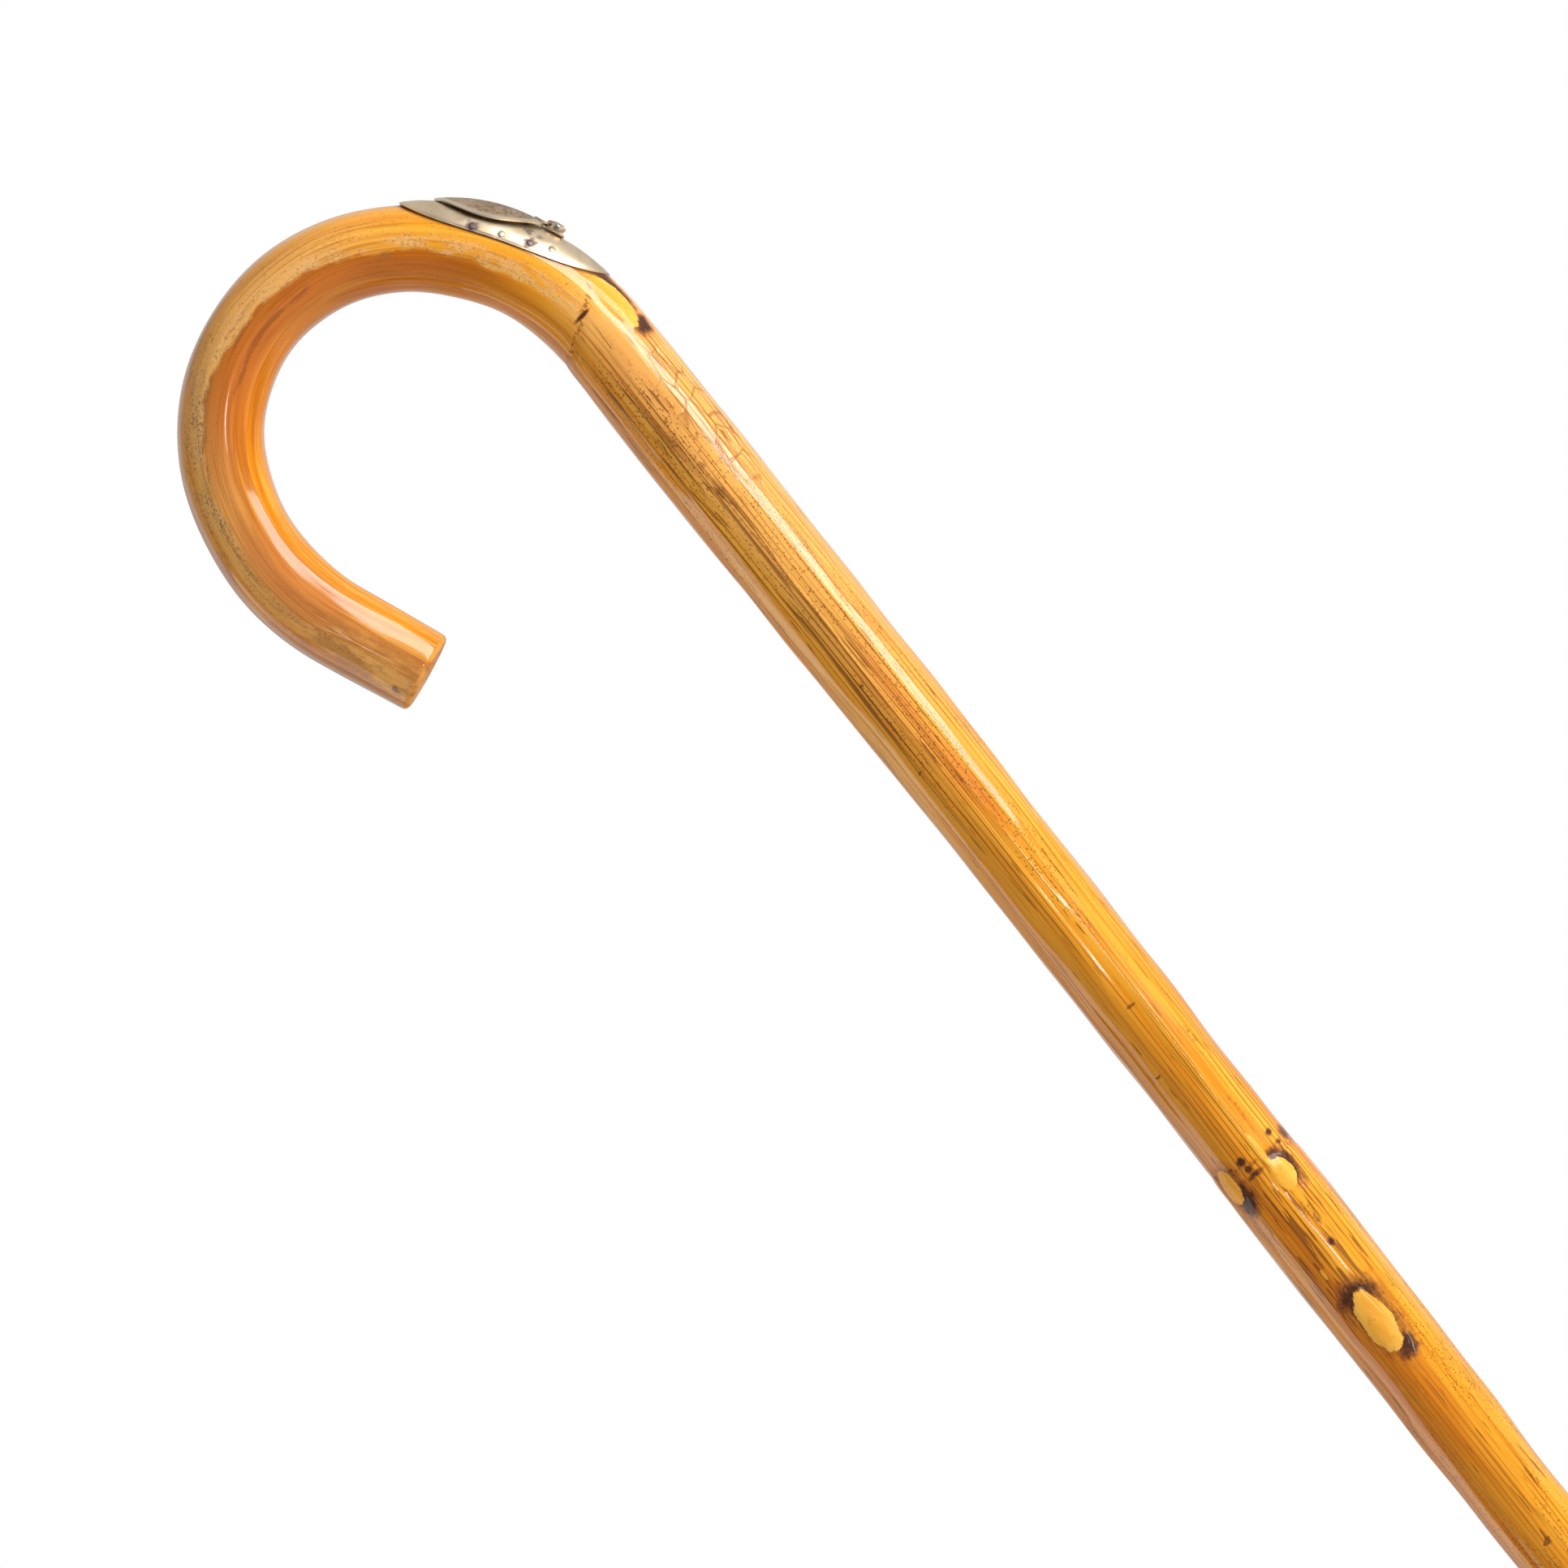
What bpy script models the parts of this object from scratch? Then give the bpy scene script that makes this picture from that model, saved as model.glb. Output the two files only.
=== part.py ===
"""Wooden crook cane with an oval lidded compartment on its shoulder and a rubber-footed ferrule.

Metres, +Z up. The origin is the centre of the rubber foot's sole. The shaft stands on the Z axis, and the
crook curls over towards -X in the plane Y = 0, which the whole cane is symmetrical about.
"""

import math

import bmesh
import bpy
from mathutils import Matrix, Vector

MM = 0.001

# ---- Driving dimensions ----------------------------------------------------------------------------------
OVERALL_HEIGHT = 900 * MM

# The crook's axis is three arcs, each (radius, turn), from the neck over the top, and then a straight nose.
SHOULDER = (55.0 * MM, math.radians(62.0))
PALM = (42.1 * MM, math.radians(95.2))
CURL = (53.7 * MM, math.radians(45.4))
NOSE_STRAIGHT = 22.9 * MM

# Stick diameters, at distances past the neck. The shaft is at negative distances, and it swells below each
# whorl of branches.
STICK_DIAMETERS = [
    (-900 * MM, 16.4 * MM),
    (-706 * MM, 17.5 * MM),
    (-690 * MM, 17.0 * MM),
    (-487 * MM, 18.9 * MM),
    (-465 * MM, 18.2 * MM),
    (-326 * MM, 19.8 * MM),
    (-254 * MM, 20.8 * MM),
    (-232 * MM, 19.7 * MM),
    (-182 * MM, 20.1 * MM),
    (-71 * MM, 21.7 * MM),
    (-26 * MM, 22.2 * MM),
    (0 * MM, 21.5 * MM),
    (20 * MM, 21.1 * MM),
    (49 * MM, 20.2 * MM),
    (95 * MM, 20.0 * MM),
    (150 * MM, 20.4 * MM),
    (193 * MM, 19.2 * MM),
]
NOSE_ROUNDING = 1.6 * MM
STICK_SIDES = 28
CROOK_STEP = 5.5 * MM
SHAFT_STEP = 45 * MM

# Touching pieces keep this gap. The saddle and the small hinge parts keep the finer ones.
GAP = 0.3 * MM
SADDLE_GAP = 0.2 * MM
FINE_GAP = 0.1 * MM
PIN_CLEARANCE = 0.06 * MM

# Angles on the shoulder are measured round its arc's centre, from the neck.
SADDLE_ANGLE = math.radians(32.1)
SADDLE_HALF_SPAN = math.radians(22.7)
SADDLE_WRAP = math.radians(66)
SADDLE_FULLNESS = 2.4
SADDLE_THICKNESS = 0.6 * MM
OVAL_SIDES = 40

BOX_ANGLE = math.radians(36.3)
MOUTH_HALF_LENGTH = 9.5 * MM
MOUTH_HALF_WIDTH = 5.6 * MM
CUP_WALL = 0.5 * MM
CUP_DEPTH = 7.3 * MM
CUP_TOP_GAP = 0.15 * MM

LID_HALF_LENGTH = 13.3 * MM
LID_HALF_WIDTH = 8.7 * MM
LID_CROSS_RADIUS = 11.4 * MM
LID_THICKNESS = 0.6 * MM
LID_TIP_RISE = 0.85 * MM
LID_HINGE_RISE = 1.2 * MM
LID_DOME = 0.6 * MM
RIM_WALL = 0.5 * MM
RIM_ENGAGEMENT = 0.1 * MM

PIN_ANGLE = math.radians(23.0)
PIN_HEIGHT = 1.35 * MM
PIN_RADIUS = 0.4 * MM
PIN_HOLE_RADIUS = PIN_RADIUS + PIN_CLEARANCE
PIN_HEAD_RADIUS = 0.62 * MM
PIN_HEAD_THICKNESS = 0.3 * MM
KNUCKLE_RADIUS = 0.85 * MM
KNUCKLE_LENGTH = 3.0 * MM
LEAF_LENGTH = 3.0 * MM
LEAF_THICKNESS = 0.4 * MM
EAR_THICKNESS = 1.2 * MM

# The saddle's tacks, each (angle on the shoulder, angle round the stick from its crest), on both sides.
TACK_PLACES = [(38.9, 58), (32.4, 58), (26.1, 54), (21.4, 47)]
TACK_HEAD_RADIUS = 0.9 * MM
TACK_HEAD_HEIGHT = 0.25 * MM
TACK_SHANK_RADIUS = 0.45 * MM
TACK_LENGTH = 3.0 * MM
HOLE_CLEARANCE = 0.15 * MM

FOOT_SOLE_RADIUS = 13.0 * MM
FOOT_TOP_RADIUS = 10.4 * MM
FOOT_HEIGHT = 14.0 * MM
SPIGOT_RADIUS = 7.9 * MM
SPIGOT_HEIGHT = 9.0 * MM
TREAD_DEPTH = 1.4 * MM
WASHER_THICKNESS = 1.2 * MM
WASHER_HOLE_RADIUS = 2.5 * MM
SLEEVE_WALL = 0.8 * MM
SLEEVE_LENGTH = 36 * MM
SLEEVE_BEAD = 0.6 * MM
NAIL_HEIGHT_ON_SLEEVE = 26 * MM
NAIL_SHANK_RADIUS = 0.6 * MM
NAIL_HEAD_RADIUS = 1.2 * MM
NAIL_HEAD_HEIGHT = 0.4 * MM
NAIL_LENGTH = 6.5 * MM

# ---- Heights that follow ---------------------------------------------------------------------------------
SPIGOT_TOP = FOOT_HEIGHT + SPIGOT_HEIGHT
WASHER_BOTTOM = SPIGOT_TOP + GAP
WOOD_BOTTOM = WASHER_BOTTOM + WASHER_THICKNESS + GAP
SLEEVE_BOTTOM = FOOT_HEIGHT + GAP
SLEEVE_TOP = SLEEVE_BOTTOM + SLEEVE_LENGTH
NAIL_HEIGHT = SLEEVE_BOTTOM + NAIL_HEIGHT_ON_SLEEVE
SADDLE_BOTTOM_LIFT = SADDLE_GAP
SADDLE_TOP_LIFT = SADDLE_GAP + SADDLE_THICKNESS

BRASSY_SILVER = (0.62, 0.55, 0.43, 1)


def stick_diameter(s):
    """Diameter of the stick s metres past the neck."""
    for (s0, d0), (s1, d1) in zip(STICK_DIAMETERS, STICK_DIAMETERS[1:]):
        if s <= s1:
            return d0 + (d1 - d0) * (s - s0) / (s1 - s0)
    return STICK_DIAMETERS[-1][1]


def stick_radius(s):
    return stick_diameter(s) / 2


def neck_height():
    """Height of the neck that puts the top of the crook at the overall height."""
    radius, turn = SHOULDER
    crown_s = radius * turn + PALM[0] * (math.pi / 2 - turn)
    rise = (radius - PALM[0]) * math.sin(turn) + PALM[0] + stick_radius(crown_s)
    return OVERALL_HEIGHT - rise


NECK_HEIGHT = neck_height()
NOSE_END = sum(radius * turn for radius, turn in (SHOULDER, PALM, CURL)) + NOSE_STRAIGHT


def centreline(s):
    """(x, z, heading) of the stick's axis, s metres past the neck."""
    x, z, heading = 0.0, NECK_HEIGHT, math.pi / 2
    if s <= 0:
        return x, z + s, heading
    for radius, turn in (SHOULDER, PALM, CURL):
        turned = min(s / radius, turn)
        centre_x = x - radius * math.sin(heading)
        centre_z = z + radius * math.cos(heading)
        heading += turned
        x = centre_x + radius * math.sin(heading)
        z = centre_z - radius * math.cos(heading)
        s -= radius * turn
        if s <= 0:
            return x, z, heading
    return x + s * math.cos(heading), z + s * math.sin(heading), heading


def stick_ring(s, radius):
    """A circle round the stick's axis. It starts on the outer side of the bend."""
    x, z, heading = centreline(s)
    out_x, out_z = math.sin(heading), -math.cos(heading)
    ring = []
    for i in range(STICK_SIDES):
        turn = 2 * math.pi * i / STICK_SIDES
        across = radius * math.cos(turn)
        ring.append(Vector((x + across * out_x, radius * math.sin(turn), z + across * out_z)))
    return ring


def shoulder_frame(angle, lift):
    """Frame on the shoulder's crest: X along the crook towards its nose, Z out of the wood."""
    radius = SHOULDER[0] + stick_radius(SHOULDER[0] * angle) + lift
    out = Vector((math.cos(angle), 0, math.sin(angle)))
    along = Vector((-math.sin(angle), 0, math.cos(angle)))
    frame = Matrix((along, Vector((0, -1, 0)), out)).transposed().to_4x4()
    frame.translation = Vector((-SHOULDER[0], 0, NECK_HEIGHT)) + radius * out
    return frame


def shoulder_point(angle, wrap, lift):
    """Point over the shoulder, wrap radians round the stick from its crest and lift above the wood."""
    radius = stick_radius(SHOULDER[0] * angle) + lift
    reach = SHOULDER[0] + radius * math.cos(wrap)
    x = -SHOULDER[0] + reach * math.cos(angle)
    z = NECK_HEIGHT + reach * math.sin(angle)
    return Vector((x, radius * math.sin(wrap), z))


def shoulder_angles(along, across, lift):
    """(angle, wrap) of the point over the shoulder that lies at (along, across) in the box's frame."""
    angle = BOX_ANGLE + along / SHOULDER[0]
    for _ in range(4):
        radius = stick_radius(SHOULDER[0] * angle) + lift
        wrap = math.asin(across / radius)
        angle = BOX_ANGLE + math.asin(along / (SHOULDER[0] + radius * math.cos(wrap)))
    return angle, wrap


BOX_FRAME = shoulder_frame(BOX_ANGLE, 0)
PIN_FRAME = shoulder_frame(PIN_ANGLE, SADDLE_TOP_LIFT + PIN_HEIGHT)


def box_height(along, across, lift):
    """Height in the box's frame of the surface that lies lift above the wood."""
    point = shoulder_point(*shoulder_angles(along, across, lift), lift)
    return (BOX_FRAME.inverted() @ point).z


# ---- Building blocks -------------------------------------------------------------------------------------
def material(name, colour, roughness, metallic=0.0):
    made = bpy.data.materials.new(name)
    made.use_nodes = True
    shader = made.node_tree.nodes["Principled BSDF"]
    shader.inputs["Base Color"].default_value = colour
    shader.inputs["Roughness"].default_value = roughness
    shader.inputs["Metallic"].default_value = metallic
    return made


def loft(loops, closed=False):
    """A closed bmesh through loops of equal length. It caps the ends, or joins the last loop to the first."""
    bm = bmesh.new()
    rings = [[bm.verts.new(p) for p in loop] for loop in loops]
    pairs = list(zip(rings, rings[1:]))
    if closed:
        pairs.append((rings[-1], rings[0]))
    else:
        bm.faces.new(reversed(rings[0]))
        bm.faces.new(rings[-1])
    count = len(rings[0])
    for lower, upper in pairs:
        for i in range(count):
            j = (i + 1) % count
            bm.faces.new((lower[i], lower[j], upper[j], upper[i]))
    bmesh.ops.recalc_face_normals(bm, faces=bm.faces)
    return bm


def circle(radius, height, sides):
    turns = [2 * math.pi * i / sides for i in range(sides)]
    return [Vector((radius * math.cos(a), radius * math.sin(a), height)) for a in turns]


def turned(profile, sides=24, closed=False):
    """A solid turned round Z from a profile of (radius, height)."""
    return loft([circle(radius, height, sides) for radius, height in profile], closed)


def oval(half_length, half_width, height=0.0):
    """An oval loop round Z. A height that is a function of (along, across) makes it follow a surface."""
    loop = []
    for i in range(OVAL_SIDES):
        turn = 2 * math.pi * i / OVAL_SIDES
        along, across = half_length * math.cos(turn), half_width * math.sin(turn)
        z = height(along, across) if callable(height) else height
        loop.append(Vector((along, across, z)))
    return loop


def block(low, high):
    """A box between two corners."""
    rectangle = [(low[0], low[1]), (high[0], low[1]), (high[0], high[1]), (low[0], high[1])]
    return loft([[Vector((x, y, z)) for x, y in rectangle] for z in (low[2], high[2])])


def add(name, bm, frame=None, finish=None, parent=None):
    """Links a bmesh, whose points are in frame, as an object."""
    mesh = bpy.data.meshes.new(name)
    bm.to_mesh(mesh)
    bm.free()
    mesh.shade_smooth()
    mesh.set_sharp_from_angle(angle=math.radians(35))
    obj = bpy.data.objects.new(name, mesh)
    bpy.context.scene.collection.objects.link(obj)
    obj.matrix_world = frame or Matrix.Identity(4)
    if finish:
        mesh.materials.append(finish)
    if parent:
        obj.parent = parent
        obj.matrix_parent_inverse = parent.matrix_world.inverted()
    return obj


def boolean(obj, operation, name, bm, frame=None):
    """Cuts obj with a bmesh, or joins the bmesh to it. The helper isn't part of the cane."""
    helper = add(name, bm, frame)
    helper.hide_render = True
    helper.display_type = "WIRE"
    modifier = obj.modifiers.new(name, "BOOLEAN")
    modifier.operation = operation
    modifier.solver = "EXACT"
    modifier.object = helper


def pointing(place, direction):
    """A frame at place whose Z points along direction."""
    return Matrix.Translation(place) @ direction.to_track_quat("Z", "Y").to_matrix().to_4x4()


# ---- Stick -----------------------------------------------------------------------------------------------
def build_shaft(wood):
    """The stick below the neck."""
    bottom, top = WOOD_BOTTOM - NECK_HEIGHT, -FINE_GAP / 2
    knees = [s for s, _ in STICK_DIAMETERS if bottom < s < top]
    steps = math.floor((top - bottom) / SHAFT_STEP)
    stations = [bottom + i * SHAFT_STEP for i in range(steps)]
    stations = [s for s in stations if all(abs(s - knee) > SHAFT_STEP / 3 for knee in knees)]
    loops = [stick_ring(s, stick_radius(s)) for s in sorted(stations + knees + [top])]
    return add("stick_shaft", loft(loops), finish=wood)


def build_crook(wood):
    """The stick above the neck, with the pocket that holds the compartment's cup."""
    start, end = FINE_GAP / 2, NOSE_END - NOSE_ROUNDING
    count = round((end - start) / CROOK_STEP)
    stations = [start + (end - start) * i / count for i in range(count + 1)]
    loops = [stick_ring(s, stick_radius(s)) for s in stations]
    end_radius = stick_radius(NOSE_END)
    loops.append(stick_ring(NOSE_END - 0.3 * NOSE_ROUNDING, end_radius - 0.3 * NOSE_ROUNDING))
    loops.append(stick_ring(NOSE_END, end_radius - NOSE_ROUNDING))
    crook = add("stick_crook", loft(loops), finish=wood)
    outer_length = MOUTH_HALF_LENGTH + CUP_WALL + GAP
    outer_width = MOUTH_HALF_WIDTH + CUP_WALL + GAP
    floor = -CUP_DEPTH - CUP_WALL - GAP
    pocket = loft([oval(outer_length, outer_width, z) for z in (floor, 3 * MM)])
    boolean(crook, "DIFFERENCE", "pocket_cutter", pocket, BOX_FRAME)
    return crook


# ---- Saddle and compartment ------------------------------------------------------------------------------
def saddle_loop(share, lift):
    """A loop on the saddle, from share 0 at the mouth's edge to share 1 at the outer edge."""
    loop = []
    for i, inner in enumerate(oval(MOUTH_HALF_LENGTH, MOUTH_HALF_WIDTH)):
        angle, wrap = shoulder_angles(inner.x, inner.y, lift)
        turn = 2 * math.pi * i / OVAL_SIDES
        power = 2 / SADDLE_FULLNESS
        along = math.copysign(abs(math.cos(turn)) ** power, math.cos(turn))
        across = math.copysign(abs(math.sin(turn)) ** power, math.sin(turn))
        edge_angle = SADDLE_ANGLE + SADDLE_HALF_SPAN * along
        edge_wrap = SADDLE_WRAP * across
        angle += (edge_angle - angle) * share
        wrap += (edge_wrap - wrap) * share
        loop.append(shoulder_point(angle, wrap, lift))
    return loop


def build_saddle(metal):
    shares = (0, 0.25, 0.5, 0.75, 1)
    lower = [saddle_loop(share, SADDLE_BOTTOM_LIFT) for share in shares]
    upper = [saddle_loop(share, SADDLE_TOP_LIFT) for share in reversed(shares)]
    return add("saddle_plate", loft(lower + upper, closed=True), finish=metal)


def build_cup(metal):
    def top(along, across):
        return box_height(along, across, SADDLE_BOTTOM_LIFT) - CUP_TOP_GAP

    outer = (MOUTH_HALF_LENGTH + CUP_WALL, MOUTH_HALF_WIDTH + CUP_WALL)
    inner = (MOUTH_HALF_LENGTH, MOUTH_HALF_WIDTH)
    loops = [
        oval(*inner, -CUP_DEPTH),
        oval(*inner, top),
        oval(*outer, top),
        oval(*outer, -CUP_DEPTH - CUP_WALL),
    ]
    add("compartment_cup", loft(loops), BOX_FRAME, metal)


def build_tacks(crook, saddle, metal):
    """The tacks that hold the saddle, each in its own hole."""
    head_lift = SADDLE_TOP_LIFT + FINE_GAP
    for side, sign in (("near", -1), ("far", 1)):
        for number, (angle, wrap) in enumerate(TACK_PLACES, 1):
            angle, wrap = math.radians(angle), sign * math.radians(wrap)
            seat = shoulder_point(angle, wrap, head_lift)
            outward = (seat - shoulder_point(angle, wrap, 0)).normalized()
            frame = pointing(seat, outward)
            profile = [
                (TACK_SHANK_RADIUS / 3, -TACK_LENGTH),
                (TACK_SHANK_RADIUS, -TACK_LENGTH + 3 * TACK_SHANK_RADIUS),
                (TACK_SHANK_RADIUS, 0),
                (TACK_HEAD_RADIUS, 0),
                (TACK_HEAD_RADIUS * 0.85, TACK_HEAD_HEIGHT * 0.7),
                (TACK_HEAD_RADIUS * 0.4, TACK_HEAD_HEIGHT),
            ]
            name = f"saddle_tack_{side}_{number}"
            add(name, turned(profile, sides=12), frame, metal)
            radius = TACK_SHANK_RADIUS + HOLE_CLEARANCE
            hole = [(radius, -TACK_LENGTH - GAP), (radius, 2 * MM)]
            boolean(crook, "DIFFERENCE", f"{name}_wood_hole", turned(hole, sides=10), frame)
            boolean(saddle, "DIFFERENCE", f"{name}_plate_hole", turned(hole, sides=10), frame)


# ---- Lid and hinge ---------------------------------------------------------------------------------------
def lid_height(along, across, depth):
    """Height in the box's frame of the lid's surface, depth below its outer face."""
    share = along / LID_HALF_LENGTH
    rise = (LID_TIP_RISE + LID_HINGE_RISE) / 2
    rise += (LID_TIP_RISE - LID_HINGE_RISE) / 2 * share + LID_DOME * (1 - share**2)
    cross = LID_CROSS_RADIUS - depth
    drop = cross - math.sqrt(cross**2 - across**2)
    return box_height(along, 0, SADDLE_TOP_LIFT) + rise - depth - drop


def build_lid(metal, hinge):
    shares = (0.12, 0.35, 0.6, 0.82, 1)
    inset = 1 - LID_THICKNESS / LID_CROSS_RADIUS
    loops = []
    for share in shares:
        lengths = (LID_HALF_LENGTH * share, LID_HALF_WIDTH * share)
        loops.append(oval(*lengths, lambda a, b: lid_height(a, b, 0)))
    for share in reversed(shares):
        lengths = (LID_HALF_LENGTH * share, LID_HALF_WIDTH * share * inset)
        loops.append(oval(*lengths, lambda a, b: lid_height(a, b, LID_THICKNESS)))
    add("lid_shell", loft(loops), BOX_FRAME, metal, hinge)


def build_rim(metal, hinge):
    """The oval ring inside the lid that plugs the mouth."""

    def top(along, across):
        return lid_height(along, across, LID_THICKNESS) - FINE_GAP

    def bottom(along, across):
        return box_height(along, across, SADDLE_BOTTOM_LIFT) - RIM_ENGAGEMENT

    outer = (MOUTH_HALF_LENGTH - GAP, MOUTH_HALF_WIDTH - GAP)
    inner = tuple(half - RIM_WALL for half in outer)
    loops = [oval(*outer, top), oval(*inner, top), oval(*inner, bottom), oval(*outer, bottom)]
    add("lid_rim", loft(loops, closed=True), BOX_FRAME, metal, hinge)


def across_hinge(profile, half_length, sides=16):
    """A solid turned round the hinge's axis, which is Y in the pin's frame."""
    bm = turned([(profile, -half_length), (profile, half_length)], sides)
    bmesh.ops.rotate(bm, verts=bm.verts, matrix=Matrix.Rotation(math.pi / 2, 3, "X"))
    return bm


def leaf_strip(half):
    """The strip from the knuckle's top that lies on the lid's outer face, in the pin's frame."""
    to_pin = PIN_FRAME.inverted() @ BOX_FRAME
    low = KNUCKLE_RADIUS - LEAF_THICKNESS
    edges = [(0, low), (KNUCKLE_RADIUS / 2, low)]
    for share in (0.15, 0.6, 1):
        along = -LID_HALF_LENGTH + LEAF_LENGTH * share
        point = to_pin @ Vector((along, 0, lid_height(along, 0, 0) + FINE_GAP))
        edges.append((point.x, point.z))
    loops = []
    for x, z in edges:
        corners = [(-half, z), (half, z), (half, z + LEAF_THICKNESS * 0.98), (-half, z + LEAF_THICKNESS * 0.98)]
        loops.append([Vector((x, y, height)) for y, height in corners])
    return loft(loops)


def build_knuckle(metal, hinge):
    half = KNUCKLE_LENGTH / 2
    knuckle = add("lid_knuckle", across_hinge(KNUCKLE_RADIUS, half), PIN_FRAME, metal, hinge)
    boolean(knuckle, "UNION", "lid_leaf", leaf_strip(half * 0.98), PIN_FRAME)
    hole = across_hinge(PIN_HOLE_RADIUS, KNUCKLE_LENGTH)
    boolean(knuckle, "DIFFERENCE", "knuckle_hole", hole, PIN_FRAME)


def ear_outline():
    """Half of an ear's outline as (half width, height), from its foot up to its head."""
    foot = -PIN_HEIGHT + FINE_GAP
    return [
        (2.1 * MM, foot),
        (2.1 * MM, foot + 0.5 * MM),
        (1.25 * MM, foot + 0.75 * MM),
        (1.15 * MM, 0.0),
        (1.6 * MM, 0.25 * MM),
        (1.6 * MM, 0.65 * MM),
        (1.1 * MM, 0.95 * MM),
    ]


def build_bracket(metal):
    """The hinge bracket: two ears on one foot, which stands on the saddle."""
    right = ear_outline()
    outline = right + [(-x, z) for x, z in reversed(right)]
    near = KNUCKLE_LENGTH / 2 + FINE_GAP
    far = near + EAR_THICKNESS
    ears = []
    for y0, y1 in ((near, far), (-far, -near)):
        ears.append(loft([[Vector((x, y, z)) for x, z in outline] for y in (y0, y1)]))
    bracket = add("hinge_bracket", ears[0], PIN_FRAME, metal)
    boolean(bracket, "UNION", "second_ear", ears[1], PIN_FRAME)
    foot = right[0][1]
    plate = block((-2.1 * MM, -far + FINE_GAP, foot), (2.1 * MM, far - FINE_GAP, foot + 0.3 * MM))
    boolean(bracket, "UNION", "bracket_foot", plate, PIN_FRAME)
    boolean(bracket, "DIFFERENCE", "bracket_hole", across_hinge(PIN_HOLE_RADIUS, 2 * far), PIN_FRAME)
    return far


def build_pin(metal, ear_face):
    """The hinge pin, peened over outside both ears."""
    half = ear_face + FINE_GAP
    profile = [
        (PIN_HEAD_RADIUS * 0.6, -half - PIN_HEAD_THICKNESS),
        (PIN_HEAD_RADIUS, -half - PIN_HEAD_THICKNESS / 2),
        (PIN_HEAD_RADIUS, -half),
        (PIN_RADIUS, -half),
    ]
    profile += [(radius, -height) for radius, height in reversed(profile)]
    bm = turned(profile, sides=16)
    bmesh.ops.rotate(bm, verts=bm.verts, matrix=Matrix.Rotation(math.pi / 2, 3, "X"))
    add("hinge_pin", bm, PIN_FRAME, metal)


# ---- Ferrule ---------------------------------------------------------------------------------------------
def build_foot():
    """The rubber foot: a flared pad with two ring grooves in its sole and a spigot up into the sleeve."""
    profile = [
        (3.5 * MM, 0),
        (4.0 * MM, TREAD_DEPTH),
        (5.6 * MM, TREAD_DEPTH),
        (6.1 * MM, 0),
        (8.2 * MM, 0),
        (8.7 * MM, TREAD_DEPTH),
        (10.0 * MM, TREAD_DEPTH),
        (10.5 * MM, 0),
        (FOOT_SOLE_RADIUS - 0.8 * MM, 0),
        (FOOT_SOLE_RADIUS, 0.8 * MM),
        (FOOT_SOLE_RADIUS, 3.5 * MM),
        (11.6 * MM, 6.5 * MM),
        (10.8 * MM, 10.0 * MM),
        (FOOT_TOP_RADIUS, FOOT_HEIGHT - 0.6 * MM),
        (FOOT_TOP_RADIUS - 0.6 * MM, FOOT_HEIGHT),
        (SPIGOT_RADIUS, FOOT_HEIGHT),
        (SPIGOT_RADIUS, SPIGOT_TOP - 0.5 * MM),
        (SPIGOT_RADIUS - 0.5 * MM, SPIGOT_TOP),
    ]
    rubber = material("rubber", (0.03, 0.03, 0.032, 1), 0.75)
    add("rubber_foot", turned(profile, sides=40), finish=rubber)


def build_washer(steel):
    low, high = WASHER_BOTTOM, WASHER_BOTTOM + WASHER_THICKNESS
    outer, inner = SPIGOT_RADIUS, WASHER_HOLE_RADIUS
    profile = [(inner, low), (outer, low), (outer, high), (inner, high)]
    add("ferrule_washer", turned(profile, sides=32, closed=True), finish=steel)


def build_sleeve(metal):
    """The tapered metal sleeve, with a bead rolled at its top and bottom edges."""
    inner_top = stick_radius(SLEEVE_TOP - NECK_HEIGHT) + GAP
    inner_bottom = stick_radius(WOOD_BOTTOM - NECK_HEIGHT) + GAP
    top, bottom = inner_top + SLEEVE_WALL, inner_bottom + SLEEVE_WALL
    bead = SLEEVE_BEAD
    profile = [
        (inner_bottom, SLEEVE_BOTTOM),
        (bottom, SLEEVE_BOTTOM),
        (bottom + bead, SLEEVE_BOTTOM + bead),
        (bottom + bead, SLEEVE_BOTTOM + 2.5 * bead),
        (bottom, SLEEVE_BOTTOM + 3.5 * bead),
        (top, SLEEVE_TOP - 2.5 * bead),
        (top + 0.6 * bead, SLEEVE_TOP - 1.8 * bead),
        (top + 0.6 * bead, SLEEVE_TOP - 0.7 * bead),
        (top, SLEEVE_TOP),
        (inner_top, SLEEVE_TOP),
        (inner_bottom, WOOD_BOTTOM),
    ]
    return add("ferrule_sleeve", turned(profile, sides=40, closed=True), finish=metal)


def build_nails(shaft, sleeve, metal):
    """The two nails that hold the sleeve, on its near and far sides."""
    wood = stick_radius(NAIL_HEIGHT - NECK_HEIGHT)
    for name, sign in (("ferrule_nail_near", -1), ("ferrule_nail_far", 1)):
        seat = Vector((0, sign * (wood + 2 * GAP + SLEEVE_WALL), NAIL_HEIGHT))
        frame = pointing(seat, Vector((0, sign, 0)))
        profile = [
            (NAIL_SHANK_RADIUS / 3, -NAIL_LENGTH),
            (NAIL_SHANK_RADIUS, -NAIL_LENGTH + 3 * NAIL_SHANK_RADIUS),
            (NAIL_SHANK_RADIUS, 0),
            (NAIL_HEAD_RADIUS, 0),
            (NAIL_HEAD_RADIUS * 0.8, NAIL_HEAD_HEIGHT * 0.7),
            (NAIL_HEAD_RADIUS * 0.35, NAIL_HEAD_HEIGHT),
        ]
        add(name, turned(profile, sides=16), frame, metal)
        radius = NAIL_SHANK_RADIUS + HOLE_CLEARANCE
        hole = [(radius, -NAIL_LENGTH - GAP), (radius, 2 * MM)]
        boolean(shaft, "DIFFERENCE", f"{name}_wood_hole", turned(hole, sides=12), frame)
        boolean(sleeve, "DIFFERENCE", f"{name}_sleeve_hole", turned(hole, sides=12), frame)


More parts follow.
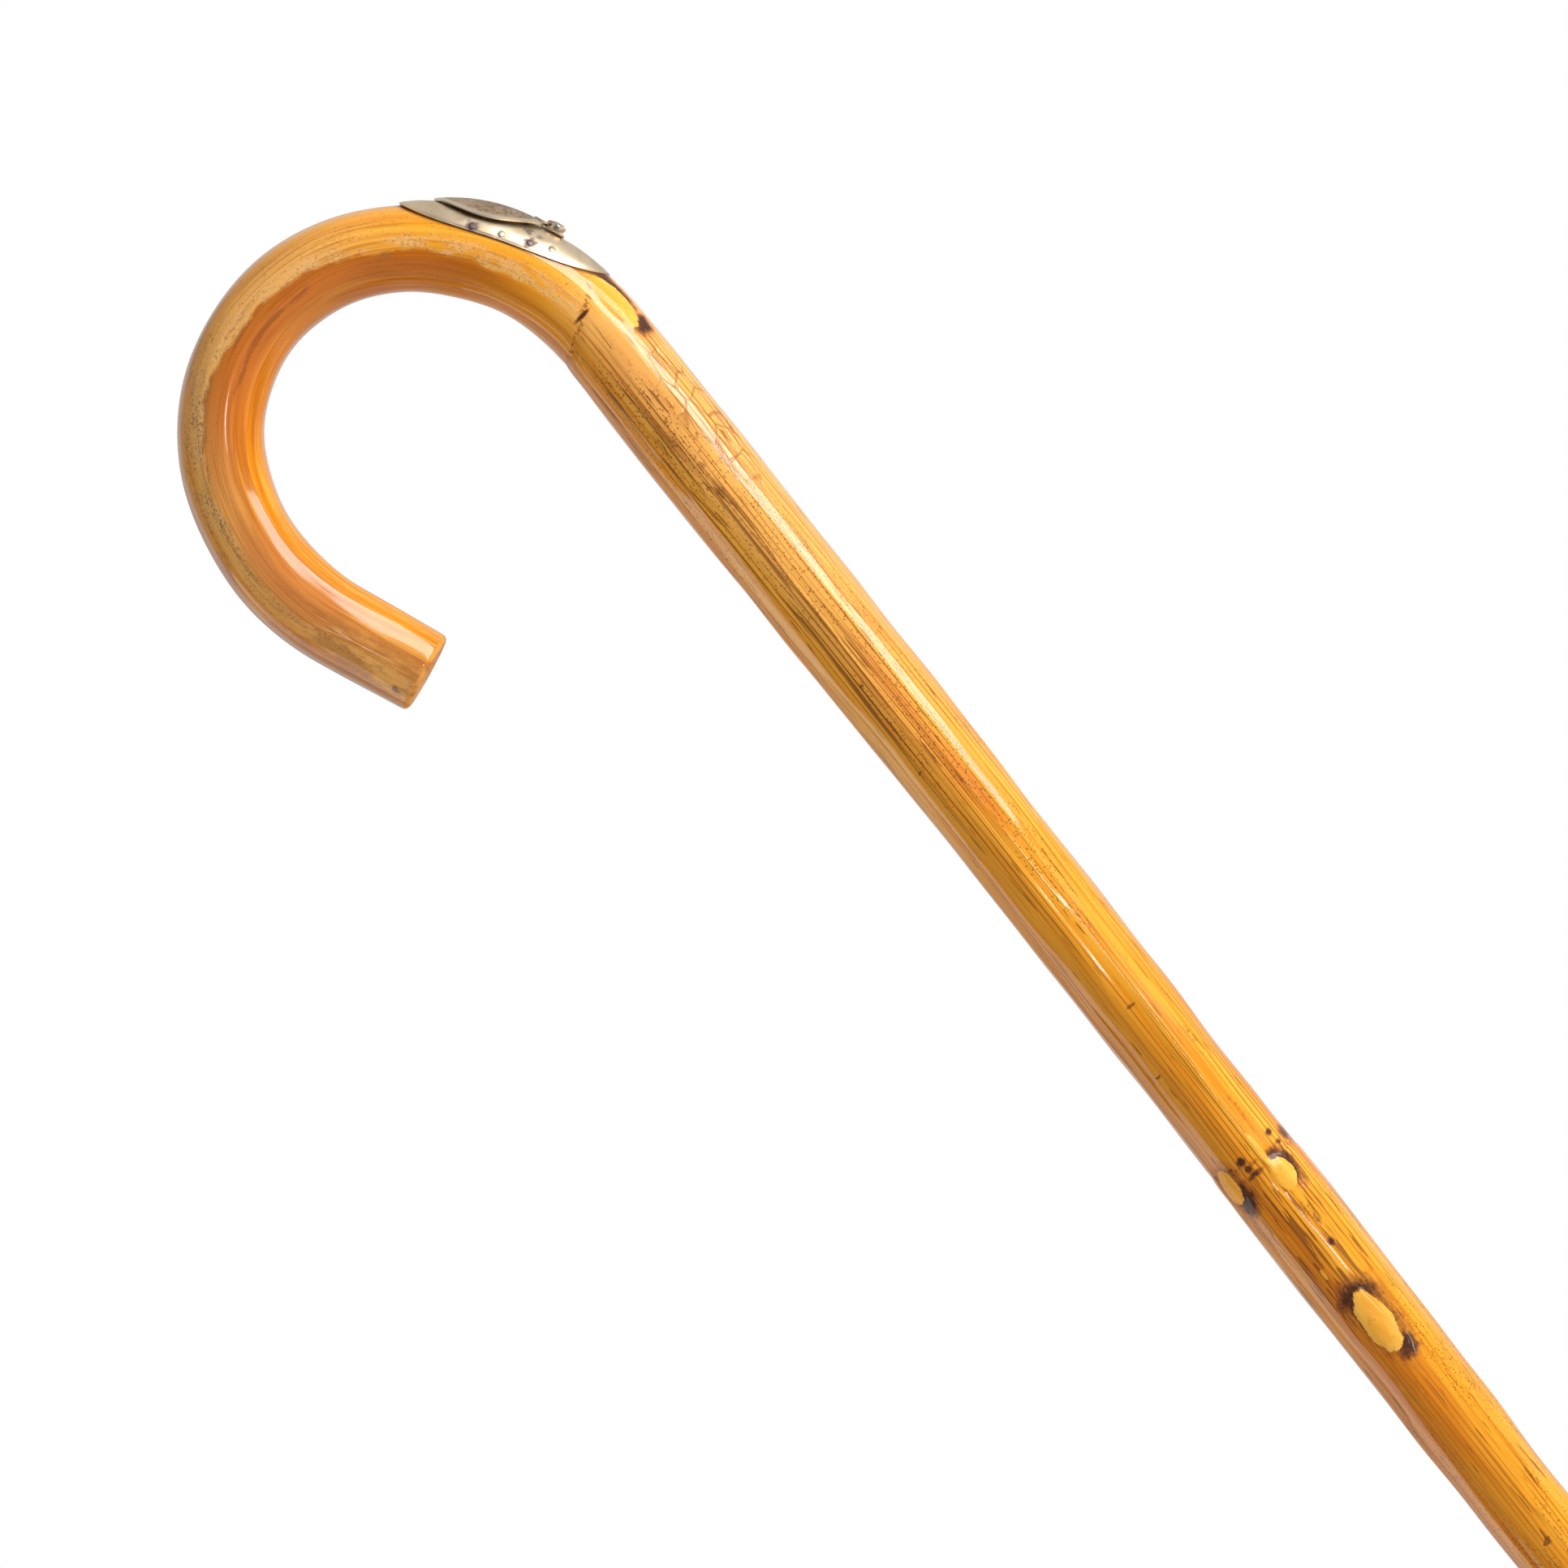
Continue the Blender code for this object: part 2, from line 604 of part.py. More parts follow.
def main():
    for obj in list(bpy.data.objects):
        bpy.data.objects.remove(obj)
    wood = material("varnished_wood", (0.72, 0.40, 0.12, 1), 0.3)
    plate_metal = material("saddle_silver", BRASSY_SILVER, 0.32, 1)
    lid_metal = material("lid_silver", (0.55, 0.48, 0.38, 1), 0.38, 1)
    tack_metal = material("tarnished_tack", (0.35, 0.31, 0.28, 1), 0.45, 1)
    steel = material("steel", (0.55, 0.55, 0.56, 1), 0.4, 1)
    sleeve_metal = material("ferrule_nickel", (0.62, 0.58, 0.50, 1), 0.35, 1)

    shaft = build_shaft(wood)
    crook = build_crook(wood)
    saddle = build_saddle(plate_metal)
    build_cup(plate_metal)
    build_tacks(crook, saddle, tack_metal)

    hinge = bpy.data.objects.new("lid_hinge_axis", None)
    bpy.context.scene.collection.objects.link(hinge)
    hinge.matrix_world = PIN_FRAME
    build_lid(lid_metal, hinge)
    build_rim(lid_metal, hinge)
    build_knuckle(lid_metal, hinge)
    ear_face = build_bracket(plate_metal)
    build_pin(steel, ear_face)

    build_foot()
    build_washer(steel)
    sleeve = build_sleeve(sleeve_metal)
    build_nails(shaft, sleeve, tack_metal)


main()
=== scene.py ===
"""Looks of the crook cane. Metres, in the CAD's frame: +Z up the shaft, -X towards the crook's nose."""

import functools
import math
from math import radians

import bmesh
import bpy
import numpy as np
from mathutils import Matrix, Vector


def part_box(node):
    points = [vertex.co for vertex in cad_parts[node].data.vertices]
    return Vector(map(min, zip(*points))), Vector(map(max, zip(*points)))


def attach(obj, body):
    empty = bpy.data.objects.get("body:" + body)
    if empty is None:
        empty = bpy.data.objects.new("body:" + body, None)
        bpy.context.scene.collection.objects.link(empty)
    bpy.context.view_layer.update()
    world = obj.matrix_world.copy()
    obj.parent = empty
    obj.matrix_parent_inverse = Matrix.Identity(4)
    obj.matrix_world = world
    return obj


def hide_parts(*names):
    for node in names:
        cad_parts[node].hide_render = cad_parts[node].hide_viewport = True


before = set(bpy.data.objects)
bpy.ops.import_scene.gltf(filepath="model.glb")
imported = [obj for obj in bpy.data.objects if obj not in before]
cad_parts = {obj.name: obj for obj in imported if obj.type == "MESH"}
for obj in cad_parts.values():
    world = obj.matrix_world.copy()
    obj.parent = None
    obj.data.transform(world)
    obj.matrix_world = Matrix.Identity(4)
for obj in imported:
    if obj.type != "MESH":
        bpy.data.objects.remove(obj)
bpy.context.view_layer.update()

MM = 0.001

# ---- The stick's axis, as in the CAD ----
# The crook is three arcs, each (radius, turn), from the neck over the top, and then a straight nose.
SHOULDER = (55.0 * MM, radians(62.0))
PALM = (42.1 * MM, radians(95.2))
CURL = (53.7 * MM, radians(45.4))
NOSE_STRAIGHT = 22.9 * MM
NECK_HEIGHT = 836.478 * MM
WOOD_BOTTOM = 24.8 * MM
NOSE_END = sum(radius * turn for radius, turn in (SHOULDER, PALM, CURL)) + NOSE_STRAIGHT
NOSE_ROUNDING = 1.6 * MM

# Stick diameters in mm, at distances past the neck in mm.
STICK_DIAMETERS = [
    (-900, 16.4), (-706, 17.5), (-690, 17.0), (-487, 18.9), (-465, 18.2), (-326, 19.8), (-254, 20.8),
    (-232, 19.7), (-182, 20.1), (-71, 21.7), (-26, 22.2), (0, 21.5), (20, 21.1), (49, 20.2), (95, 20.0),
    (150, 20.4), (193, 19.2),
]
# The shaft's slight bow, as how far its axis leans towards +X in mm, at distances past the neck in mm.
SHAFT_BOW = [(-812, 0), (-700, -0.5), (-500, -1.1), (-342, -1.05), (-247, -0.4), (-144, 0.4), (-20, 0)]

# ---- The saddle and the box, as in the CAD ----
SADDLE_ANGLE = radians(32.1)
SADDLE_HALF_SPAN = radians(22.7)
SADDLE_WRAP = radians(66)
SADDLE_FULLNESS = 2.4
BOX_ANGLE = radians(36.3)
PIN_ANGLE = radians(23.0)
PIN_LIFT = 2.15 * MM
MOUTH_HALF_LENGTH = 9.5 * MM
MOUTH_HALF_WIDTH = 5.6 * MM
LID_HALF_LENGTH = 13.3 * MM
LID_HALF_WIDTH = 8.7 * MM
# The radius of the lid's curve from side to side.
LID_CROSS_RADIUS = 11.4 * MM
# The wood is sunk to the pocket's floor this far round the mouth, out of sight under the saddle.
POCKET_MARGIN = 1.5 * MM
POCKET_FLOOR = -8.3 * MM
# The height of the tacks' heads' undersides above the wood.
TACK_SEAT = 0.50 * MM
KNUCKLE_HALF_WIDTH = 1.48  # in mm
# The near side's tacks, each (angle over the shoulder, wrap round the stick) in degrees.
TACK_PLACES = [(38.9, 58), (32.4, 58), (26.1, 54), (21.4, 47)]


# ---- Shapes in numpy ----
def turns(sides):
    return 2 * math.pi * np.arange(sides) / sides


def smoothstep(low, high, value):
    t = np.clip((value - low) / (high - low), 0, 1)
    return t * t * (3 - 2 * t)


def bell(value, centre, width):
    return np.exp(-(((value - centre) / width) ** 2))


def softened(places, s, spread):
    """A curve through (distance, value) places in mm, rounded off over spread, at distances s in metres."""
    fine = np.arange(-950.0, 260.0, 1.0)
    values = np.interp(fine, *np.array(places, float).T)
    kernel = bell(np.arange(-3 * spread, 3 * spread + 1), 0, spread)
    values = np.convolve(np.pad(values, len(kernel) // 2, mode="edge"), kernel / kernel.sum(), mode="valid")
    return np.interp(s / MM, fine, values[: len(fine)])


def centreline(s):
    """Arrays (x, z, heading) of the stick's axis, s metres past the neck."""
    x, z, heading = np.zeros_like(s), NECK_HEIGHT + np.minimum(s, 0), np.full_like(s, math.pi / 2)
    left = np.maximum(s, 0)
    for radius, turn in (SHOULDER, PALM, CURL):
        turned = np.clip(left / radius, 0, turn)
        x = x + radius * (np.sin(heading + turned) - np.sin(heading))
        z = z - radius * (np.cos(heading + turned) - np.cos(heading))
        heading = heading + turned
        left = np.maximum(left - radius * turn, 0)
    return x + left * np.cos(heading), z + left * np.sin(heading), heading


def stick_radius(s):
    return softened(STICK_DIAMETERS, s, 5) / 2 * MM


def radius_at(place):
    """The stick's radius in metres at one place, in mm past the neck."""
    return float(stick_radius(np.array([place * MM]))[0])


def waves(s, phi, seed, counts, length, number=14):
    """A smooth random ripple of about unit height over the stick. It joins up round the stick."""
    rng = np.random.default_rng(seed)
    total = np.zeros(np.broadcast(s, phi).shape)
    for _ in range(number):
        around = rng.integers(counts[0], counts[1] + 1)
        along = rng.normal(0, 2 * math.pi / length)
        total = total + np.sin(around * phi + along * s + rng.uniform(0, 2 * math.pi))
    return total / math.sqrt(number / 2)


def shoulder_radius(angle, lift):
    return stick_radius(SHOULDER[0] * angle) + lift


def shoulder_points(angle, wrap, lift):
    """Points over the shoulder, wrap radians round the stick from its crest and lift above the wood."""
    radius = shoulder_radius(angle, lift)
    reach = SHOULDER[0] + radius * np.cos(wrap)
    x = -SHOULDER[0] + reach * np.cos(angle)
    return np.stack([x, radius * np.sin(wrap), NECK_HEIGHT + reach * np.sin(angle)], -1)


def shoulder_place(angle, wrap, lift):
    """One point over the shoulder, from an angle and a wrap in degrees."""
    return shoulder_points(np.array([radians(angle)]), np.array([radians(wrap)]), lift)[0]


def shoulder_angles(along, across, lift):
    """(angle, wrap) of the points over the shoulder that lie at (along, across) in the box's frame."""
    angle = BOX_ANGLE + along / SHOULDER[0]
    for _ in range(4):
        radius = shoulder_radius(angle, lift)
        wrap = np.arcsin(across / radius)
        angle = BOX_ANGLE + np.arcsin(along / (SHOULDER[0] + radius * np.cos(wrap)))
    return angle, wrap


def crest_frame(angle, lift=0.0):
    """Frame on the shoulder's crest: X along the crook towards its nose, Z out of the wood."""
    out = Vector((math.cos(angle), 0, math.sin(angle)))
    along = Vector((-math.sin(angle), 0, math.cos(angle)))
    matrix = Matrix((along, Vector((0, -1, 0)), out)).transposed().to_4x4()
    radius = SHOULDER[0] + radius_at(SHOULDER[0] * angle / MM) + lift
    matrix.translation = Vector((-SHOULDER[0], 0, NECK_HEIGHT)) + radius * out
    return matrix


BOX_FRAME = crest_frame(BOX_ANGLE)
PIN_FRAME = crest_frame(PIN_ANGLE, PIN_LIFT)


def in_frame(points, matrix):
    """Points of a frame, as world points."""
    m = np.array(matrix)
    return points @ m[:3, :3].T + m[:3, 3]


def out_of_frame(points, matrix):
    """World points, as points of a frame."""
    return in_frame(points, matrix.inverted())


# ---- Meshes ----
def grid_faces(rows, columns, start=0):
    """Quads between the loops of a (rows, columns) grid whose columns close round."""
    i, j = np.meshgrid(np.arange(rows - 1), np.arange(columns), indexing="ij")
    a, b = start + i * columns + j, start + i * columns + (j + 1) % columns
    return np.stack([a, b, b + columns, a + columns], -1).reshape(-1, 4)


def link(name, data):
    """A new object of the scene."""
    obj = bpy.data.objects.new(name, data)
    bpy.context.scene.collection.objects.link(obj)
    return obj


def make(name, points, faces, finish, sharp=None):
    """A smooth-shaded object, from an array of points and a list of faces."""
    mesh = bpy.data.meshes.new(name)
    mesh.from_pydata(points.tolist(), [], [list(map(int, face)) for face in faces])
    mesh.validate()
    mesh.shade_smooth()
    if sharp:
        mesh.set_sharp_from_angle(angle=radians(sharp))
    mesh.materials.append(finish)
    return link(name, mesh)


def tube(name, loops, finish, closed=False, sharp=None):
    """A body through a (rows, columns, 3) grid of loops. It caps the ends, or joins the last to the first."""
    rows, columns = loops.shape[:2]
    points = loops.reshape(-1, 3)
    faces = grid_faces(rows, columns).tolist()
    if closed:
        ring = np.arange(columns)
        after = (ring + 1) % columns
        last = (rows - 1) * columns
        faces += np.stack([last + ring, last + after, after, ring], -1).tolist()
    else:
        faces.append(list(range(columns))[::-1])
        faces.append([(rows - 1) * columns + j for j in range(columns)])
    obj = make(name, points, faces, finish, sharp)
    turn_outward(obj)
    return obj


def turn_outward(obj):
    """Faces the body's surface outward, by the sign of its volume."""
    body = bmesh.new()
    body.from_mesh(obj.data)
    if body.calc_volume(signed=True) < 0:
        obj.data.flip_normals()
    body.free()


def lathe(name, profile, finish, matrix=None, sides=96, closed=False, sharp=30):
    """A body turned round Z from (radius, height) places in mm."""
    profile = np.array(profile, float) * MM
    turn = turns(sides)
    x = profile[:, :1] * np.cos(turn)
    y = profile[:, :1] * np.sin(turn)
    z = np.repeat(profile[:, 1:], sides, 1)
    loops = np.stack([x, y, z], -1)
    obj = tube(name, loops, finish, closed, sharp)
    if matrix is not None:
        obj.data.transform(matrix)
    return obj


def rounded(profile, radius, steps=4):
    """A (radius, height) profile in mm with its corners rounded."""
    profile = [np.array(p, float) for p in profile]
    out = [profile[0]]
    for before, corner, after in zip(profile, profile[1:], profile[2:]):
        a, b = before - corner, after - corner
        reach = min(radius, 0.45 * np.linalg.norm(a), 0.45 * np.linalg.norm(b))
        a, b = a / np.linalg.norm(a) * reach, b / np.linalg.norm(b) * reach
        for k in range(steps + 1):
            t = k / steps
            out.append(corner + (1 - t) ** 2 * a + t**2 * b)
    out.append(profile[-1])
    return out


def store(obj, name, values):
    """Keeps a vector per vertex for the material."""
    attribute = obj.data.attributes.new(name, "FLOAT_VECTOR", "POINT")
    attribute.data.foreach_set("vector", np.ascontiguousarray(values, np.float32).reshape(-1))


# ---- Material building ----
def rgb(red, green, blue):
    """A colour given as 0 to 255 screen values."""
    def linear(v):
        v /= 255
        return v / 12.92 if v <= 0.04045 else ((v + 0.055) / 1.055) ** 2.4

    return (linear(red), linear(green), linear(blue), 1)


class Finish:
    """A procedural material on one Principled shader."""

    def __init__(self, name, roughness, metallic=0.0, **constants):
        self.material = bpy.data.materials.new(name)
        self.material.use_nodes = True
        self.tree = self.material.node_tree
        self.shader = self.tree.nodes["Principled BSDF"]
        self.shader.inputs["Roughness"].default_value = roughness
        self.shader.inputs["Metallic"].default_value = metallic
        for key, value in constants.items():
            self.shader.inputs[key.replace("_", " ")].default_value = value

    def add(self, kind, inputs=(), **settings):
        node = self.tree.nodes.new(kind)
        for key, value in settings.items():
            setattr(node, key, value)
        for key, value in dict(inputs).items():
            self.feed(node.inputs[key], value)
        return node

    def feed(self, socket, value):
        if isinstance(value, bpy.types.NodeSocket):
            self.tree.links.new(value, socket)
        else:
            socket.default_value = value

    def put(self, name, value):
        self.feed(self.shader.inputs[name], value)

    def math(self, operation, *values):
        return self.add("ShaderNodeMath", dict(enumerate(values)), operation=operation).outputs[0]

    def times(self, a, b):
        return self.math("MULTIPLY", a, b)

    def plus(self, a, b):
        return self.math("ADD", a, b)

    def minus(self, a, b):
        return self.math("SUBTRACT", a, b)

    def swing(self, noise, width):
        """Noise about 0.5, as an offset about 0."""
        return self.times(self.minus(noise, 0.5), width)

    def all_of(self, *masks):
        return functools.reduce(self.times, masks)

    def any_of(self, *masks):
        return functools.reduce(lambda a, b: self.math("MAXIMUM", a, b), masks)

    def vector(self, operation, *values):
        node = self.add("ShaderNodeVectorMath", dict(enumerate(values)), operation=operation)
        return node.outputs["Value" if operation in ("LENGTH", "DOT_PRODUCT") else "Vector"]

    def axes(self, vector):
        return self.add("ShaderNodeSeparateXYZ", {0: vector}).outputs

    def step(self, value, low, high):
        """0 below low and 1 above high, smoothly between. High may be below low, for the reverse."""
        inputs = {"Value": value, "From Min": low, "From Max": high}
        return self.add("ShaderNodeMapRange", inputs, interpolation_type="SMOOTHSTEP").outputs[0]

    def noise(self, vector, scale=1.0, detail=3.0, roughness=0.55):
        inputs = {"Vector": vector, "Scale": scale, "Detail": detail, "Roughness": roughness}
        return self.add("ShaderNodeTexNoise", inputs).outputs["Fac"]

    def cells(self, vector, feature="F1"):
        return self.add("ShaderNodeTexVoronoi", {"Vector": vector, "Scale": 1.0}, feature=feature).outputs["Distance"]

    def ramp(self, value, stops):
        node = self.add("ShaderNodeValToRGB", {0: value})
        elements = node.color_ramp.elements
        for element, (place, colour) in zip(list(elements), (stops[0], stops[-1])):
            element.position, element.color = place, colour
        for place, colour in stops[1:-1]:
            elements.new(place).color = colour
        return node.outputs[0]

    def mix(self, factor, a, b, blend="MIX"):
        inputs = {0: factor, 6: a, 7: b}
        return self.add("ShaderNodeMix", inputs, data_type="RGBA", blend_type=blend).outputs[2]

    def mix_value(self, factor, a, b):
        return self.add("ShaderNodeMix", {0: factor, 2: a, 3: b}, data_type="FLOAT").outputs[0]

    def bump(self, height, strength, distance):
        inputs = {"Height": height, "Strength": strength, "Distance": distance}
        return self.add("ShaderNodeBump", inputs).outputs[0]

    def scaled(self, vector, x, y, z, shift=0.0):
        moved = self.vector("ADD", vector, (shift, shift, shift))
        return self.vector("MULTIPLY", moved, (x, y, z))

    def own_space(self):
        return self.add("ShaderNodeTexCoord").outputs["Object"]


# ---- Stick ----
# Places on the stick are (distance past the neck in mm, angle round the stick in degrees from the near side
# towards the crook's outer side, half length in mm, half width in mm).
# Bare patches where branches were trimmed off.
PATCHES = [
    (4, 44, 7.2, 3.2), (-239.8, -52, 4.8, 2.6), (-244.2, 20, 4.2, 2.9), (-237.5, 12, 6, 0.9),
    (-283.7, -3, 8.8, 3.7), (-268, -20, 1.5, 0.5), (-120, 168, 7.5, 3.2), (-247, 135, 6.5, 3),
    (-390, 100, 6.5, 3), (-475, 40, 7, 3.2), (-480, -100, 6, 2.8), (-580, 8, 6.5, 2.8),
    (-697, -30, 6, 2.8), (-702, 120, 5.5, 2.6),
]
# The char round the patches and in the growth rings, with its darkness last.
CHARS = [
    (7.5, 61, 6.5, 1.5, 1), (-3.2, 54, 2.6, 2.6, 1), (6.6, -4, 0.42, 2, 1),
    (-237.6, -48, 3.4, 3.6, 0.55), (-243.6, -44, 4.2, 2.6, 1), (-243.4, 33, 4.6, 1.8, 1),
    (-239.6, 24, 1.6, 2.4, 0.9), (-236.3, -16, 0.9, 1.1, 1), (-238.6, -13, 0.7, 0.8, 0.9),
    (-240.3, -8, 0.6, 1.6, 0.8), (-240.6, -18, 0.5, 0.7, 0.8), (-235, 41, 0.8, 0.9, 0.9),
    (-238, 44, 0.6, 0.8, 0.8), (-237.3, 70, 1.6, 2.4, 0.8), (-263, 13, 0.9, 0.7, 1),
    (-277, -3, 4.2, 4.4, 1), (-283.7, 2, 9.6, 3.9, 0.7), (-291.5, 7, 3.2, 2.6, 1),
    (-121, 172, 8.5, 4.2, 0.9), (-248, 139, 7.8, 3.9, 0.9), (-391, 104, 7.8, 3.8, 0.9),
    (-477, 44, 8.2, 4, 0.9), (-481, -104, 7.2, 3.6, 0.9), (-581.5, 11, 7.6, 3.6, 0.9),
    (-698, -34, 7.2, 3.6, 0.9), (-703, 124, 6.6, 3.4, 0.9),
]
# Brown scabs, small cracks and a pin knot, with their darkness last.
SCABS = [
    (-197.6, 48, 6, 0.6, 0.55), (-206, 39, 4, 0.7, 0.6), (-214, 35, 5, 0.6, 0.55),
    (-226, 26, 5.5, 0.7, 0.55), (-193, -4, 0.45, 1.2, 0.9), (-209.7, -34, 0.5, 0.9, 0.9),
    (-98.4, -20, 0.5, 0.6, 0.9), (-122.1, -31, 0.5, 0.7, 0.9), (-162, 40, 3, 0.4, 0.6),
    (-256, 16, 5, 1.1, 0.6), (-346.4, -4, 1.5, 1.1, 0.9), (-52, -5, 30, 1, 0.6),
    (-300, -12, 7, 0.9, 0.5), (190.6, 42, 1.2, 1, 0.8), (-160, -150, 14, 1.3, 0.7),
    (-330, 150, 12, 1.2, 0.7), (-430, -60, 10, 1.1, 0.7), (-540, 80, 12, 1.2, 0.7),
    (-640, -10, 9, 1, 0.7), (-760, 30, 10, 1.1, 0.7),
]
# The rings that the growth left, each (distance in mm, slant in mm towards the outer side).
RINGS = [(6.8, 6), (-238.2, -2), (-476, 3), (-699, -3)]


def around_place(s, phi, radius, place, angle, half_length, half_width):
    """Distance from the middle of a place on the stick, which is 1 on its edge."""
    turn = (phi - radians(angle) + math.pi) % (2 * math.pi) - math.pi
    return np.hypot((s / MM - place) / half_length, turn * radius / MM / half_width)


def stick_relief(s, phi, radius):
    """How far the stick's surface stands out from its mean radius, in mm."""
    length = s / MM
    shaft = smoothstep(12, -12, length)
    relief = 0.10 * waves(length, phi, 3, (1, 4), 60)
    relief += 0.05 * waves(length, phi, 5, (5, 12), 110)
    relief += (0.010 + 0.028 * shaft) * waves(length, phi, 7, (14, 26), 160, 24)
    for place, slant in RINGS:
        ring = place + slant * np.sin(phi) + 0.5 * np.sin(3 * phi + place)
        relief -= 0.14 * bell(length, ring, 0.9)
        relief += 0.12 * bell(length, ring - 3.2, 2.8)
    for place, angle, half_length, half_width in PATCHES:
        distance = around_place(s, phi, radius, place, angle, half_length, half_width)
        size = min(1.0, half_width / 3)
        relief += size * (0.28 * bell(distance, 0, 0.8) - 0.24 * bell(distance, 1.1, 0.2))
        relief += size * 0.25 * bell(distance, 0, 2.2)
    # The rib that runs down into the ring's upper scar.
    rib = 0.34 * bell(np.degrees(phi), 11 + 0.06 * (length + 238), 5.5)
    relief += rib * smoothstep(-130, -200, length) * smoothstep(-252, -238, length)
    # The wood is trimmed flat under the saddle.
    saddle = bell(length, 31, 26) * smoothstep(0.0, 0.38, np.sin(phi))
    # The crook is kept a little slim outside, so that its bumps stay in the CAD's box.
    slim = 0.42 * smoothstep(35, 60, length) * smoothstep(170, 140, length) * np.clip(np.sin(phi), 0, 1) ** 2
    return relief * (1 - np.clip(1.3 * saddle, 0, 1)) - slim


def stick_points(s, phi, radius):
    """World points on the stick at distances s and angles phi, for radii measured from its bowed axis."""
    x, z, heading = centreline(s)
    x = x + softened(SHAFT_BOW, s, 30) * MM
    out_x, out_z = np.sin(heading), -np.cos(heading)
    across = radius * np.sin(phi)
    return np.stack([x + across * out_x, -radius * np.cos(phi), z + across * out_z], -1)


def sink_pocket(points):
    """Sinks the part of the surface that lies over the box's cup to the pocket's floor."""
    local = out_of_frame(points, BOX_FRAME)
    half_length, half_width = MOUTH_HALF_LENGTH + POCKET_MARGIN, MOUTH_HALF_WIDTH + POCKET_MARGIN
    inside = np.hypot(local[..., 0] / half_length, local[..., 1] / half_width) < 1
    inside &= local[..., 2] > -6 * MM
    local[inside, 2] = POCKET_FLOOR
    points[inside] = in_frame(local[inside], BOX_FRAME)
    return points


def build_stick():
    around = 120
    bottom = WOOD_BOTTOM - NECK_HEIGHT
    step = 1.0
    plain = np.arange(bottom / MM, -350, 2 * step)
    detailed = np.arange(-350, (NOSE_END - NOSE_ROUNDING) / MM, step)
    s = np.concatenate([plain, detailed]) * MM
    phi = turns(around)
    s_grid, phi_grid = np.meshgrid(s, phi, indexing="ij")
    radius = stick_radius(s_grid)
    skin = radius + stick_relief(s_grid, phi_grid, radius) * MM
    # The nose's rounded end, closing to a small circle on the end face.
    end_s, end_skin = [], []
    last = skin[-1]
    for k in range(1, 7):
        turn = math.pi / 2 * k / 6
        end_s.append(NOSE_END - NOSE_ROUNDING * (1 - math.sin(turn)))
        end_skin.append(last - NOSE_ROUNDING * (1 - math.cos(turn)))
    for share in np.linspace(0.85, 0.05, 9):
        dish = 0.12 * MM * math.sin(9 * share)
        end_s.append(NOSE_END + dish - 0.12 * MM)
        end_skin.append(share * (last - NOSE_ROUNDING))
    s_all = np.concatenate([s, end_s])
    skin = np.concatenate([skin, np.array(end_skin)])
    s_grid, phi_grid = np.meshgrid(s_all, phi, indexing="ij")
    points = sink_pocket(stick_points(s_grid, phi_grid, skin))
    stick = tube("stick_wood", points, wood_finish())
    straight = np.stack([skin * np.sin(phi_grid), -skin * np.cos(phi_grid), s_grid], -1)
    store(stick, "grain", straight)
    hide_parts("stick_crook", "stick_shaft")
    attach(stick, "cane")
    return stick


class Wood(Finish):
    """Varnished wood's finish, painted on the straightened stick: x across, y away from the viewer, z along."""

    def __init__(self):
        super().__init__(
            "varnished_wood_look", 0.42, Coat_Weight=1.0, Coat_Roughness=0.10, Coat_IOR=1.40, Specular_IOR_Level=0.1
        )
        self.grain = self.add("ShaderNodeAttribute", attribute_name="grain").outputs["Vector"]
        self.across, depth, self.along = self.axes(self.grain)
        self.angle = self.math("ARCTAN2", self.across, self.times(depth, -1.0))
        self.colour = None
        self.on_shaft = self.past(0.010, -0.004)
        self.on_crook = self.past(-0.002, 0.012)

    def lay(self, mask, share, shade):
        """Lays a share of the shade over the wood's colour where the mask is 1."""
        self.colour = self.mix(self.times(mask, share), self.colour, shade)

    def past(self, low, high):
        """A step along the stick."""
        return self.step(self.along, low, high)

    def beside(self, low, high):
        """A step across the stick, towards the crook's outer side."""
        return self.step(self.across, low, high)

    def fibres(self, around, length, shift=0.0, detail=3.0, roughness=0.55):
        """Noise drawn out along the grain, with around and length as its scales."""
        return self.noise(self.scaled(self.grain, around, around, length, shift), 1.0, detail, roughness)

    def distance(self, place, angle, half_length, half_width):
        """Distance from the middle of a place on the stick, which is 1 on its edge."""
        radius, turn = radius_at(place), radians(angle)
        offset = self.vector("SUBTRACT", self.grain, (radius * math.sin(turn), -radius * math.cos(turn), place * MM))
        width, length = 1 / (half_width * MM), 1 / (half_length * MM)
        return self.vector("LENGTH", self.vector("MULTIPLY", offset, (width, width, length)))


